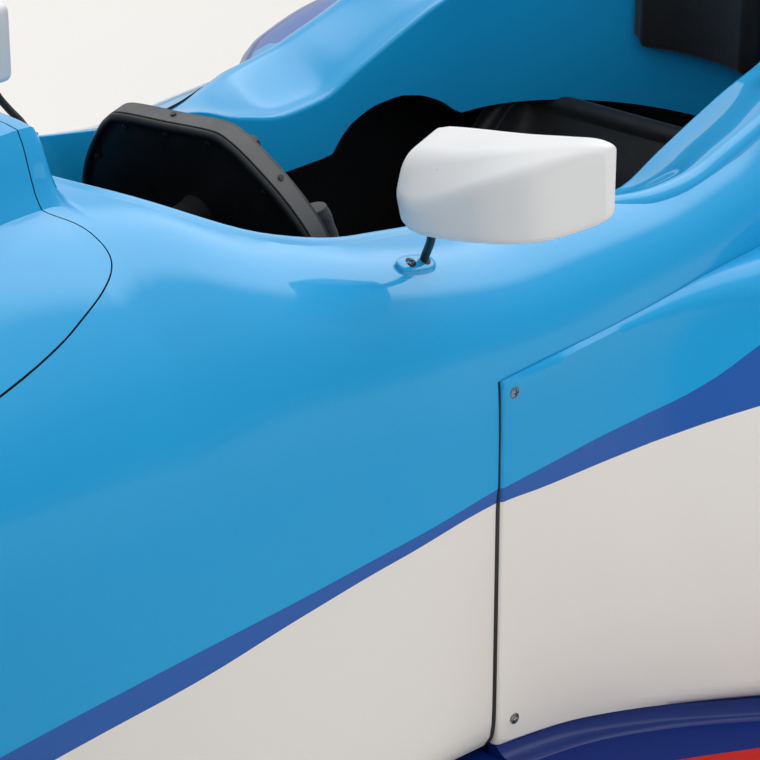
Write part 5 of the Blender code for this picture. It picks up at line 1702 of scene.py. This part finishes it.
axles = {
    # axle x, wheel centre y, tyre radius, tyre width, kingpin y
    "front": (1.39, 0.8475, 0.327, 0.305, 0.722),
    "rear": (-1.58, 0.810, 0.333, 0.380, 0.648),
}
rim = {"seat": 0.168, "flange": 0.182, "bore": 0.024, "spokes": 10, "disc inset": 0.070, "facets": 24}


def axleHeight(axle):
    return axles[axle][2] * math.cos(math.pi / rim["facets"])


def onWheel(bm, axle, side):
    # the shape's z becomes the wheel's axis, outwards
    x, y = axles[axle][:2]
    turn = Matrix(((1, 0, 0), (0, 0, side), (0, -side, 0))).to_4x4()
    bmesh.ops.transform(bm, matrix=Matrix.Translation((x, y * side, axleHeight(axle))) @ turn,
        verts=bm.verts)
    if side < 0:
        bmesh.ops.recalc_face_normals(bm, faces=bm.faces)
    return bm


def roundCopies(shape, count, start=0.0):
    whole = bmesh.new()
    for i in range(count):
        copy = shape.copy()
        turn = Matrix.Rotation(start + 2 * math.pi * i / count, 3, "Z")
        bmesh.ops.rotate(copy, cent=(0, 0, 0), matrix=turn, verts=copy.verts)
        merged(whole, copy)
    shape.free()
    return whole


def makeTyre(axle, name, side):
    radius, width = axleHeight(axle), axles[axle][3]
    half = width / 2
    flange, seatRadius = rim["flange"], rim["seat"] + 0.0006
    wall = [(radius - 0.0005, 0.0), (radius - 0.0006, (half - 0.045) * 0.6),
        (radius - 0.0022, half - 0.045), (radius - 0.0060, half - 0.026), (radius - 0.0150, half - 0.0110),
        (radius - 0.030, half - 0.0030), (radius - 0.048, half - 0.0006), (radius - 0.075, half - 0.0004),
        (flange + 0.040, half - 0.0040), (flange + 0.022, half - 0.0095), (flange + 0.009, half - 0.0150),
        (flange + 0.0045, half - 0.0205)]
    line = smoothPath(wall, 46)
    # moulded rings on the sidewall
    ringed = []
    for r, a in line:
        for centre in (radius - 0.040, flange + 0.034, flange + 0.026):
            a += 0.0009 * math.exp(-((r - centre) / 0.0018) ** 2)
        ringed.append((r, min(a, half)))
    inner = [(seatRadius, half - 0.0245), (seatRadius, half - 0.040), (seatRadius + 0.012, half - 0.046),
        (radius - 0.030, half - 0.035), (radius - 0.018, half - 0.070), (radius - 0.016, 0.0)]
    profile = ringed + inner
    whole = profile + [(r, -a) for r, a in reversed(profile[1:-1])]
    tyre = revolvedRing(whole, 96)
    newPiece("tyre%s%s" % (axle.title(), name.title()), onWheel(tyre, axle, side), "tyre",
        "wheel_%s_%s" % (axle, name), replaces=("tyre_%s_%s" % (axle, name),), slot="tyre_rubber", angle=40)


def makeRim(axle, name, side):
    width = axles[axle][3]
    half = width / 2
    lip = half - 0.019
    edge = lip + 0.008
    web = half - 0.075
    seatRadius, flange = rim["seat"], rim["flange"]
    barrel = seatRadius - 0.007
    body = "wheel_%s_%s" % (axle, name)
    label = axle.title() + name.title()
    profile = [(flange - 0.002, edge), (flange, edge - 0.002), (flange, lip + 0.001),
        (seatRadius + 0.004, lip - 0.001), (seatRadius, lip - 0.004), (seatRadius, lip - 0.028),
        (seatRadius - 0.004, lip - 0.040), (seatRadius - 0.004, 0.03 - lip), (seatRadius, 0.020 - lip),
        (seatRadius, 0.004 - lip), (seatRadius + 0.004, 0.001 - lip), (flange, -lip - 0.001),
        (flange, 0.002 - edge), (flange - 0.002, -edge), (seatRadius - 0.004, -edge + 0.001),
        (barrel, -edge + 0.006), (barrel - 0.004, -edge + 0.030), (barrel - 0.004, web - 0.020),
        (barrel - 0.008, web - 0.012), (barrel - 0.008, web + 0.010), (barrel - 0.003, web + 0.024),
        (barrel, edge - 0.012), (seatRadius - 0.002, edge - 0.002)]
    ring = revolvedRing(profile, 96)
    # twin-rooted spokes
    reach = barrel - 0.004
    outline = filleted(((0.038, -0.0095), (0.075, -0.0080), (0.120, -0.0085), (reach, -0.0150),
        (reach, 0.0150), (0.120, 0.0085), (0.075, 0.0080), (0.038, 0.0095)), 0.012, 3)
    spoke = extruded(distinct(outline), "z", web - 0.010, web + 0.010)
    for vert in spoke.verts:
        away = math.hypot(vert.co.x, vert.co.y)
        vert.co.z += 0.012 * (1 - smoothStep((away - 0.04) / 0.10)) - 0.004
    merged(ring, roundCopies(spoke, rim["spokes"]))
    bore = rim["bore"] + 0.001
    merged(ring, revolvedRing([(bore, web - 0.022), (0.058, web - 0.022), (0.058, web - 0.004),
        (0.052, web + 0.012), (0.047, web + 0.0195), (bore, web + 0.0195)], 60))
    newPiece("rim" + label, onWheel(ring, axle, side), "magnesium", body,
        replaces=("rim_%s_%s" % (axle, name),), slot="magnesium", angle=36, bevel=(0.0014, 2, 50))

    def addOn(kind, bm, material, angle=36):
        newPiece(kind + label, onWheel(bm, axle, side), material, body, angle=angle)

    # centre nut with its hexagon, the end of the spindle with its retaining clip, and the drive pegs
    hole = rim["bore"] - 0.003
    nut = revolvedRing([(hole, web + 0.020), (0.043, web + 0.020), (0.043, web + 0.025),
        (0.036, web + 0.0275), (hole, web + 0.0275)], 48)
    merged(nut, hexagon(0.034, web + 0.027, web + 0.046))
    addOn("wheelNut", nut, "nutBlue", 30)
    addOn("spindleEnd", revolved([(0.0, web + 0.044), (0.021, web + 0.044), (0.021, web + 0.0465),
        (0.0195, web + 0.0480), (0.0175, web + 0.0470), (0.0145, web + 0.0470), (0.013, web + 0.0490),
        (0.0, web + 0.0490)], 40), "steel")
    peg = revolved([(0.0, -0.004), (0.0042, -0.004), (0.0042, 0.004), (0.0034, 0.005), (0.0, 0.005)], 16)
    addOn("drivePegs", roundCopies(moved(peg, (0.0505, 0, web + 0.012)), 6, math.pi / 10), "steel", 32)
    # ventilated brake disc on its bell
    disc = rim["disc inset"] - half
    rotor = revolvedRing([(0.088, disc + 0.001), (0.134, disc + 0.001), (0.135, disc + 0.002),
        (0.135, disc + 0.009), (0.088, disc + 0.009)], 80)
    merged(rotor, revolvedRing([(0.088, disc + 0.016), (0.135, disc + 0.016), (0.135, disc + 0.023),
        (0.134, disc + 0.024), (0.088, disc + 0.024)], 80))
    vane = extruded(box(0.089, 0.133, -0.0014, 0.0014), "z", disc + 0.0085, disc + 0.0165)
    merged(rotor, roundCopies(vane, 36))
    addOn("brakeDisc", rotor, "disc")
    addOn("discBell", revolvedRing([(bore, disc + 0.006), (0.082, disc + 0.006), (0.0885, disc + 0.010),
        (0.0885, disc + 0.020), (0.080, disc + 0.024), (0.050, disc + 0.034), (0.046, web - 0.021),
        (bore, web - 0.021)], 48), "alloy")


for axleName in axles:
    for sideName, sideSign in sides.items():
        makeTyre(axleName, sideName, sideSign)
        makeRim(axleName, sideName, sideSign)
print("wheels made")

# uprights, arms, steering rack, gearbox and diffuser

arms = (
    # axle, arm, pick-up x offsets, pick-up y, pick-up z, outboard height from the axle
    ("front", "upper_wishbone", (0.09, -0.24), 0.10, 0.480, 0.110),
    ("front", "lower_wishbone", (0.08, -0.30), 0.10, 0.305, -0.110),
    ("rear", "upper_wishbone", (0.26, -0.14), 0.10, 0.350, 0.110),
    ("rear", "lower_wishbone", (0.28, -0.15), 0.10, 0.180, -0.110),
)
pushrodTops = {"front": (-0.02, 0.475), "rear": (0.10, 0.345)}
rack = {"behind": 0.11, "bar": 0.0125, "rod": 0.009, "ball": 0.014}
# bend is where the underside turns up to the rear
gearbox = {"front": -1.1508, "rear": -1.90, "bend": -1.62, "bottom": 0.115, "rear bottom": 0.250,
    "top": 0.38}


def rackHeight():
    return axleHeight("front") + 0.02


def makeUpright(axle, name, side):
    x, wheelY, _, width, pinY = axles[axle]
    z = axleHeight(axle)
    near, far = pinY - 0.020, wheelY - width / 2 + rim["disc inset"] - 0.005
    body = "knuckle_" + name if axle == "front" else "chassis"
    label = axle.title() + name.title()
    low, high = sorted((near * side, far * side))
    # machined plate, waisted between the two ball joints
    outline = filleted(((-0.030, -0.110), (0.030, -0.110), (0.035, -0.055), (0.035, 0.055), (0.026, 0.110),
        (-0.026, 0.110), (-0.035, 0.055), (-0.035, -0.055)), (0.012, 0.012, 0.03, 0.03, 0.012, 0.012, 0.03,
        0.03), 5)
    block = extruded(distinct([(x + a, z + b) for a, b in outline]), "y", low, high)
    piece = newPiece("upright" + label, block, "alloy", body, replaces=("upright_%s_%s" % (axle, name),),
        slot="cast_alloy", angle=36)
    pockets = []
    for a, b, half, tall in ((0.0, -0.078, 0.018, 0.018), (0.0, 0.078, 0.016, 0.018)):
        shape = filleted(box(x + a - half, x + a + half, z + b - tall, z + b + tall), 0.007, 4)
        inside = sorted(((near - 0.01) * side, (near + 0.014) * side))
        pockets.append(helper("uprightPocket", extruded(shape, "y", *inside), "alloy"))
    cutAway(piece, pockets, 36)
    addBevel(piece, 0.0022, 2, 50)
    settle(piece, angle=36)
    extra = bmesh.new()
    spindle = tube([(x, (far - 0.02) * side, z), (x, (wheelY + width / 2 - 0.066) * side, z),
        (x, (wheelY + width / 2 - 0.060) * side, z)], 0.0232, 40, radii=[0.0232, 0.0232, 0.019])
    merged(extra, spindle)
    boss = tube([(x, (near - 0.006) * side, z), (x, (far + 0.001) * side, z)], 0.046, 48)
    merged(extra, boss)
    if axle == "front":
        ballY = pinY - 0.012
        armX = x - rack["behind"]
        arm = extruded(distinct(filleted(((armX - 0.012, (ballY - 0.006) * side),
            (x - 0.02, (ballY - 0.006) * side), (x - 0.02, far * side),
            (armX - 0.012, (ballY + 0.022) * side)), 0.009, 4)), "z", rackHeight() - 0.010,
            rackHeight() + 0.010)
        merged(extra, arm)
        ball = moved(revolved([(0.0, -0.016), (0.009, -0.016), (0.0125, -0.011), (0.0138, -0.004),
            (0.0138, 0.004), (0.0125, 0.011), (0.009, 0.016), (0.0, 0.016)], 28),
            (armX, ballY * side, rackHeight()))
        merged(extra, ball)
    newPiece("uprightFittings" + label, extra, "steel", body, angle=36)
    # brake caliper that reaches round the disc's rear edge
    discLow = wheelY - width / 2 + rim["disc inset"]
    ring = []
    for angle in [math.radians(a) for a in range(150, 211, 6)]:
        ring.append((x + 0.146 * math.cos(angle), z + 0.146 * math.sin(angle)))
    for angle in [math.radians(a) for a in range(210, 149, -6)]:
        ring.append((x + 0.098 * math.cos(angle), z + 0.098 * math.sin(angle)))
    inboard = sorted(((near + 0.004) * side, (discLow - 0.0055) * side))
    newPiece("caliper" + label, extruded(ring, "y", *inboard), "caliperGrey", body, angle=36,
        bevel=(0.004, 3, 50))
    # carbon scoop that feeds the brake
    rows = []
    for t in (0.0, 0.2, 0.45, 0.7, 1.0):
        wide, tall = 0.020 + 0.004 * t, 0.040 + 0.018 * t
        section = filleted(box(-wide, wide, -tall, tall), 0.012, 5)
        middle = (near + 0.010 + 0.002 * t) * side
        rows.append([(x + 0.030 + 0.055 * t, middle + a * side * 0.5, z + 0.002 + b) for a, b in section])
    scoop = newPiece("brakeScoop" + label, loft(rows), "carbon", body, angle=40)
    inside = []
    for row in rows:
        middle = sum(spot[1] for spot in row) / len(row)
        inside.append([(a + 0.012, middle + (b - middle) * 0.84, z + (c - z) * 0.90) for a, b, c in row])
    hollow = helper("scoopHollow", loft(inside))
    cutAway(scoop, [hollow], 40)


def leg(start, end, chords, thickness):
    # a streamlined strut, its long axis fore and aft; chords are its widths at the two ends
    start, end = Vector(start), Vector(end)
    along = (end - start).normalized()
    fore = Vector((1, 0, 0))
    fore = (fore - along * fore.dot(along)).normalized()
    up = along.cross(fore)
    rings = []
    for i in range(9):
        t = i / 8
        chord = chords[0] + (chords[1] - chords[0]) * smoothStep(t * 1.6)
        thin = thickness * (0.86 + 0.14 * smoothStep(t * 1.6))
        ring = []
        for k in range(20):
            angle = math.pi / 10 * k
            sharp = 1 + 0.22 * math.cos(angle)
            ring.append(start.lerp(end, t) + fore * chord / 2 * math.cos(angle) + up * thin / 2
                * math.sin(angle) * sharp)
        rings.append(ring)
    return loft(rings)


def makeArm(row, name, side):
    axle, arm, offsets, pickY, pickZ, height = row
    x, _, _, _, pinY = axles[axle]
    away = math.copysign(1, height)
    near = axleHeight(axle) + height + 0.0006 * away
    far = near + 0.030 * away
    centre = Vector((x, pinY * side, far - 0.010 * away))
    whole = bmesh.new()
    for offset in offsets:
        pick = Vector((x + offset, pickY * side, pickZ))
        merged(whole, leg(centre, pick, (0.017, 0.026), 0.015))
    if arm == "lower_wishbone":
        across = Vector((x + sum(offsets) / 2, pickY * side, pickZ))
        foot = centre.lerp(across, 0.10)
        topX, topZ = pushrodTops[axle]
        merged(whole, leg(foot, (x + topX, pickY * side, topZ), (0.015, 0.018), 0.0145))
        merged(whole, tube([foot - Vector((0.022, 0, 0)), foot + Vector((0.022, 0, 0))], 0.0085, 20))
    label = arm.split("_")[0].title() + "Arm" + axle.title() + name.title()
    piece = newPiece(axle + label, whole, "carbon", replaces=("%s_%s_%s" % (axle, arm, name),),
        slot="carbon", angle=40)
    # the arm's ends stop inside the tub's or the gearbox's skin
    if axle == "front":
        envelope = helper("tubInside", cellLoft(1.0, 1.50, -0.004, 0.05, 80, False))
    else:
        inside = box(gearbox["rear"], gearbox["front"] - 0.004, gearbox["bottom"] + 0.003,
            gearbox["top"] - 0.003)
        envelope = helper("gearboxInside", extruded(inside, "y", -0.106, 0.106))
    cutAway(piece, [envelope], 40)
    # forked end with its through bolt, and the spherical joint
    ends = bmesh.new()
    low, high = sorted((near, far))
    merged(ends, moved(revolved([(0.0, 0.0), (0.0165, 0.0), (0.018, 0.0015), (0.018, 0.0085),
        (0.0145, 0.010), (0.0145, 0.020), (0.018, 0.0215), (0.018, 0.0285), (0.0165, 0.030), (0.0, 0.030)],
        32), (x, pinY * side, low)))
    merged(ends, moved(hexagon(0.0095, 0.0, 0.006), (x, pinY * side, high if away > 0 else low - 0.006)))
    newPiece(axle + "Joint" + arm.split("_")[0].title() + name.title(), ends, "steel", angle=36)


def makeRack():
    x, z = axles["front"][0] - rack["behind"], rackHeight()
    end = axles["front"][4] - 0.012 - rack["ball"] - 0.0010
    bar = tube([(x, -0.28, z), (x, 0.28, z)], rack["bar"], 32)
    for side in sides.values():
        merged(bar, tube([(x, y * side, z) for y in (0.279, 0.285, 0.295, end - 0.050, end - 0.046,
            end - 0.012, end)], rack["rod"], 24, radii=[0.0122, 0.0118, 0.0085, 0.0085, 0.0090, 0.0090,
            0.0075]))
        merged(bar, moved(hexagon(0.0110, 0.0, 0.008), (x, (end - 0.060) * side, z), (0, side, 0)))
    newPiece("steeringRack", bar, "steel", "steering_rack", replaces=("steering_rack",), slot="cast_alloy",
        angle=36)


def makeGearbox():
    front, rear, bend, bottom, top = (gearbox[key] for key in ("front", "rear", "bend", "bottom", "top"))
    sideView = ((front, bottom), (front, top), (rear, top), (rear, gearbox["rear bottom"]), (bend, bottom))
    outline = distinct(filleted(sideView, (0.004, 0.004, 0.035, 0.05, 0.08), 8))
    newPiece("gearboxCase", extruded(outline, "y", -0.094, 0.094), "magnesium", replaces=("gearbox",),
        slot="cast_alloy", angle=40, bevel=(0.014, 5, 50))
    ribs = bmesh.new()
    for x in (-1.24, -1.34, -1.46, -1.56, -1.66, -1.76):
        low = 0.120 + max(0.0, bend - x) * 0.48
        for side in sides.values():
            edges = sorted((0.088 * side, 0.1075 * side))
            merged(ribs, extruded(box(x - 0.004, x + 0.004, low + 0.015, 0.362), "y", *edges))
    for z in (0.215, 0.300):
        for side in sides.values():
            edges = sorted((0.088 * side, 0.1045 * side))
            merged(ribs, extruded(box(-1.84, -1.17, z - 0.004, z + 0.004), "y", *edges))
    # bell housing flange and the bearing bosses of the output shafts
    flange = extruded(distinct(filleted(box(-0.109, 0.109, 0.118, 0.378), 0.03, 6)), "x", -1.166, -1.1512)
    merged(ribs, flange)
    shaftX, z = axles["rear"][0], axleHeight("rear")
    for side in sides.values():
        merged(ribs, tube([(shaftX, 0.085 * side, z), (shaftX, 0.1095 * side, z)], 0.062, 48))
    newPiece("gearboxRibs", ribs, "magnesium", angle=36, bevel=(0.002, 2, 50))
    bolts = []
    for side in sides.values():
        for i in range(8):
            turn = 2 * math.pi * (i + 0.5) / 8
            bolts.append(((shaftX + 0.052 * math.cos(turn), 0.1096 * side, z + 0.052 * math.sin(turn)),
                (0, side, 0)))
        for height in (0.15, 0.20, 0.25, 0.30, 0.35):
            bolts.append(((-1.1585, 0.1092 * side, height), (0, side, 0)))
    newPiece("gearboxBolts", copies(screwHead(0.0042), bolts), "steel")
    # shafts with a constant velocity joint and rubber boot at each end
    for name, side in sides.items():
        inner, outer = 0.1106, axles["rear"][4] - 0.0206
        shaft = tube([(shaftX, y * side, z) for y in (inner, inner + 0.006, inner + 0.042, inner + 0.046,
            inner + 0.05, outer - 0.05, outer - 0.046, outer - 0.042, outer - 0.006, outer)], 0.014, 32,
            radii=[0.036, 0.040, 0.040, 0.036, 0.014, 0.014, 0.036, 0.040, 0.040, 0.036])
        newPiece("driveshaft" + name.title(), shaft, "steel", replaces=("driveshaft_" + name,),
            slot="cast_alloy", angle=36)
        boots = bmesh.new()
        for start, way in ((inner + 0.045, 1), (outer - 0.045, -1)):
            points, radii = [], []
            for i in range(25):
                t = i / 24
                points.append((shaftX, (start + way * 0.060 * t) * side, z))
                radii.append(0.037 - 0.021 * t + 0.0028 * math.sin(t * 8 * math.pi))
            merged(boots, tube(points, 0.03, 32, radii=radii))
        newPiece("shaftBoots" + name.title(), boots, "plastic", angle=60)
    # rear lamp on its carrier
    housing = extruded(filleted(box(-0.036, 0.036, 0.262, 0.322), 0.010, 5), "x", -1.932, -1.898)
    newPiece("lampHousing", housing, "plastic", bevel=(0.003, 3, 50))
    lens = extruded(filleted(box(-0.030, 0.030, 0.268, 0.316), 0.008, 5), "x", -1.940, -1.931)
    newPiece("lampLens", lens, "lamp", bevel=(0.003, 3, 50))


def makeDiffuser():
    low, thick, front = floor["bottom"], floor["top"] - floor["bottom"], -1.2806
    path = smoothPath([(front, low), (-1.42, low + 0.010), (-1.62, low + 0.045), (-1.80, 0.116),
        (-1.98, 0.2118)], 40)
    profile = path + [(x, z + thick) for x, z in reversed(path)]
    whole = extruded(profile, "y", -0.4996, 0.4996)
    for share in (-1, -0.56, -0.2, 0.2, 0.56, 1):
        y = share * 0.495
        fence = distinct(filleted(((front - 0.010, low + 0.002), (front - 0.010, low + thick * 0.5),
            (-1.62, low + 0.045 + thick * 0.5), (-1.97, 0.218), (-1.97, 0.075), (-1.62, low + 0.002)),
            (0.001, 0.001, 0.05, 0.01, 0.05, 0.05), 5))
        merged(whole, extruded(fence, "y", y - 0.0025, y + 0.0025))
    # small turned-up lip along the trailing edge
    merged(whole, extruded(box(-1.9795, -1.9765, 0.222, 0.2375), "y", -0.4996, 0.4996))
    newPiece("diffuserPanel", whole, "carbon", replaces=("diffuser",), slot="carbon", angle=36,
        bevel=(0.0012, 2, 60))


for axleName in axles:
    for sideName, sideSign in sides.items():
        makeUpright(axleName, sideName, sideSign)
for armRow in arms:
    for sideName, sideSign in sides.items():
        makeArm(armRow, sideName, sideSign)
makeRack()
makeGearbox()
makeDiffuser()
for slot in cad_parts["engine_block"].material_slots:
    slot.material = materials["alloy"]
print("running gear made")

# stage, light and camera

floorBm = bmesh.new()
bmesh.ops.create_grid(floorBm, x_segments=1, y_segments=1, size=40)
ground = newPiece("studioFloor", floorBm, "ground", riding=False)
world = bpy.data.worlds.new("studio")
bpy.context.scene.world = world
world.use_nodes = True
# an overcast studio dome, brighter overhead than at the horizon
backdrop = world.node_tree.nodes["Background"]
backdrop.inputs["Color"].default_value = linear(colours["cloud white"])
sky = addNode(world.node_tree, "ShaderNodeTexCoord").outputs["Generated"]
parts = addNode(world.node_tree, "ShaderNodeSeparateXYZ", None, {"Vector": sky})
height = addNode(world.node_tree, "ShaderNodeMapRange", {"From Min": -0.05, "From Max": 0.95,
    "To Min": 0.30, "To Max": 1.05}, {"Value": parts.outputs["Z"]}, interpolation_type="SMOOTHSTEP")
total = height.outputs["Result"]
# a bright break in the cloud behind the car, and the pale wall beyond its right side
for towards, begin, full, strength in (((-0.64, 0.02, 0.765), 0.85, 0.95, 2.7),
    ((-0.63, -0.74, 0.24), 0.6, 0.98, 0.7)):
    share = addNode(world.node_tree, "ShaderNodeVectorMath", {1: towards}, {0: sky},
        operation="DOT_PRODUCT")
    glow = addNode(world.node_tree, "ShaderNodeMapRange", {"From Min": begin, "From Max": full,
        "To Min": 0.0, "To Max": strength}, {"Value": share.outputs["Value"]},
        interpolation_type="SMOOTHSTEP")
    total = addNode(world.node_tree, "ShaderNodeMath", None, {0: total, 1: glow.outputs["Result"]},
        operation="ADD").outputs[0]
world.node_tree.links.new(total, backdrop.inputs["Strength"])


def softbox(name, place, size, power):
    # a large soft lamp that looks at the car's middle and shows in no reflection
    lamp = bpy.data.lights.new(name, "AREA")
    lamp.shape = "RECTANGLE"
    lamp.size, lamp.size_y = size
    lamp.energy = power
    holder = bpy.data.objects.new(name, lamp)
    bpy.context.scene.collection.objects.link(holder)
    holder.location = place
    holder.visible_glossy = False
    holder.rotation_euler = (Vector((0.2, 0, 0.4)) - Vector(place)).to_track_quat("-Z", "Y").to_euler()


softbox("topLight", (0.5, 0.5, 5.5), (6.0, 6.0), 32)
softbox("sideLight", (2.0, 5.5, 2.8), (5.0, 2.5), 84)

view = {"place": (2.331, 2.011, 1.635), "yaw": 42.0, "pitch": 24.0, "lens": 143.9}
yaw, pitch = math.radians(view["yaw"]), math.radians(view["pitch"])
ahead = Vector((-math.cos(yaw) * math.cos(pitch), -math.sin(yaw) * math.cos(pitch), -math.sin(pitch)))
across = Vector((-math.sin(yaw), math.cos(yaw), 0.0))
upward = across.cross(ahead)
cameraData = bpy.data.cameras.new("camera")
cameraData.lens = view["lens"]
cameraData.sensor_width = 36.0
camera = bpy.data.objects.new("camera", cameraData)
bpy.context.scene.collection.objects.link(camera)
turned = Matrix((across, upward, -ahead)).transposed().to_4x4()
camera.matrix_world = Matrix.Translation(view["place"]) @ turned
bpy.context.scene.camera = camera
bpy.context.scene.view_settings.view_transform = "Standard"
print("stage, lights and camera ready")
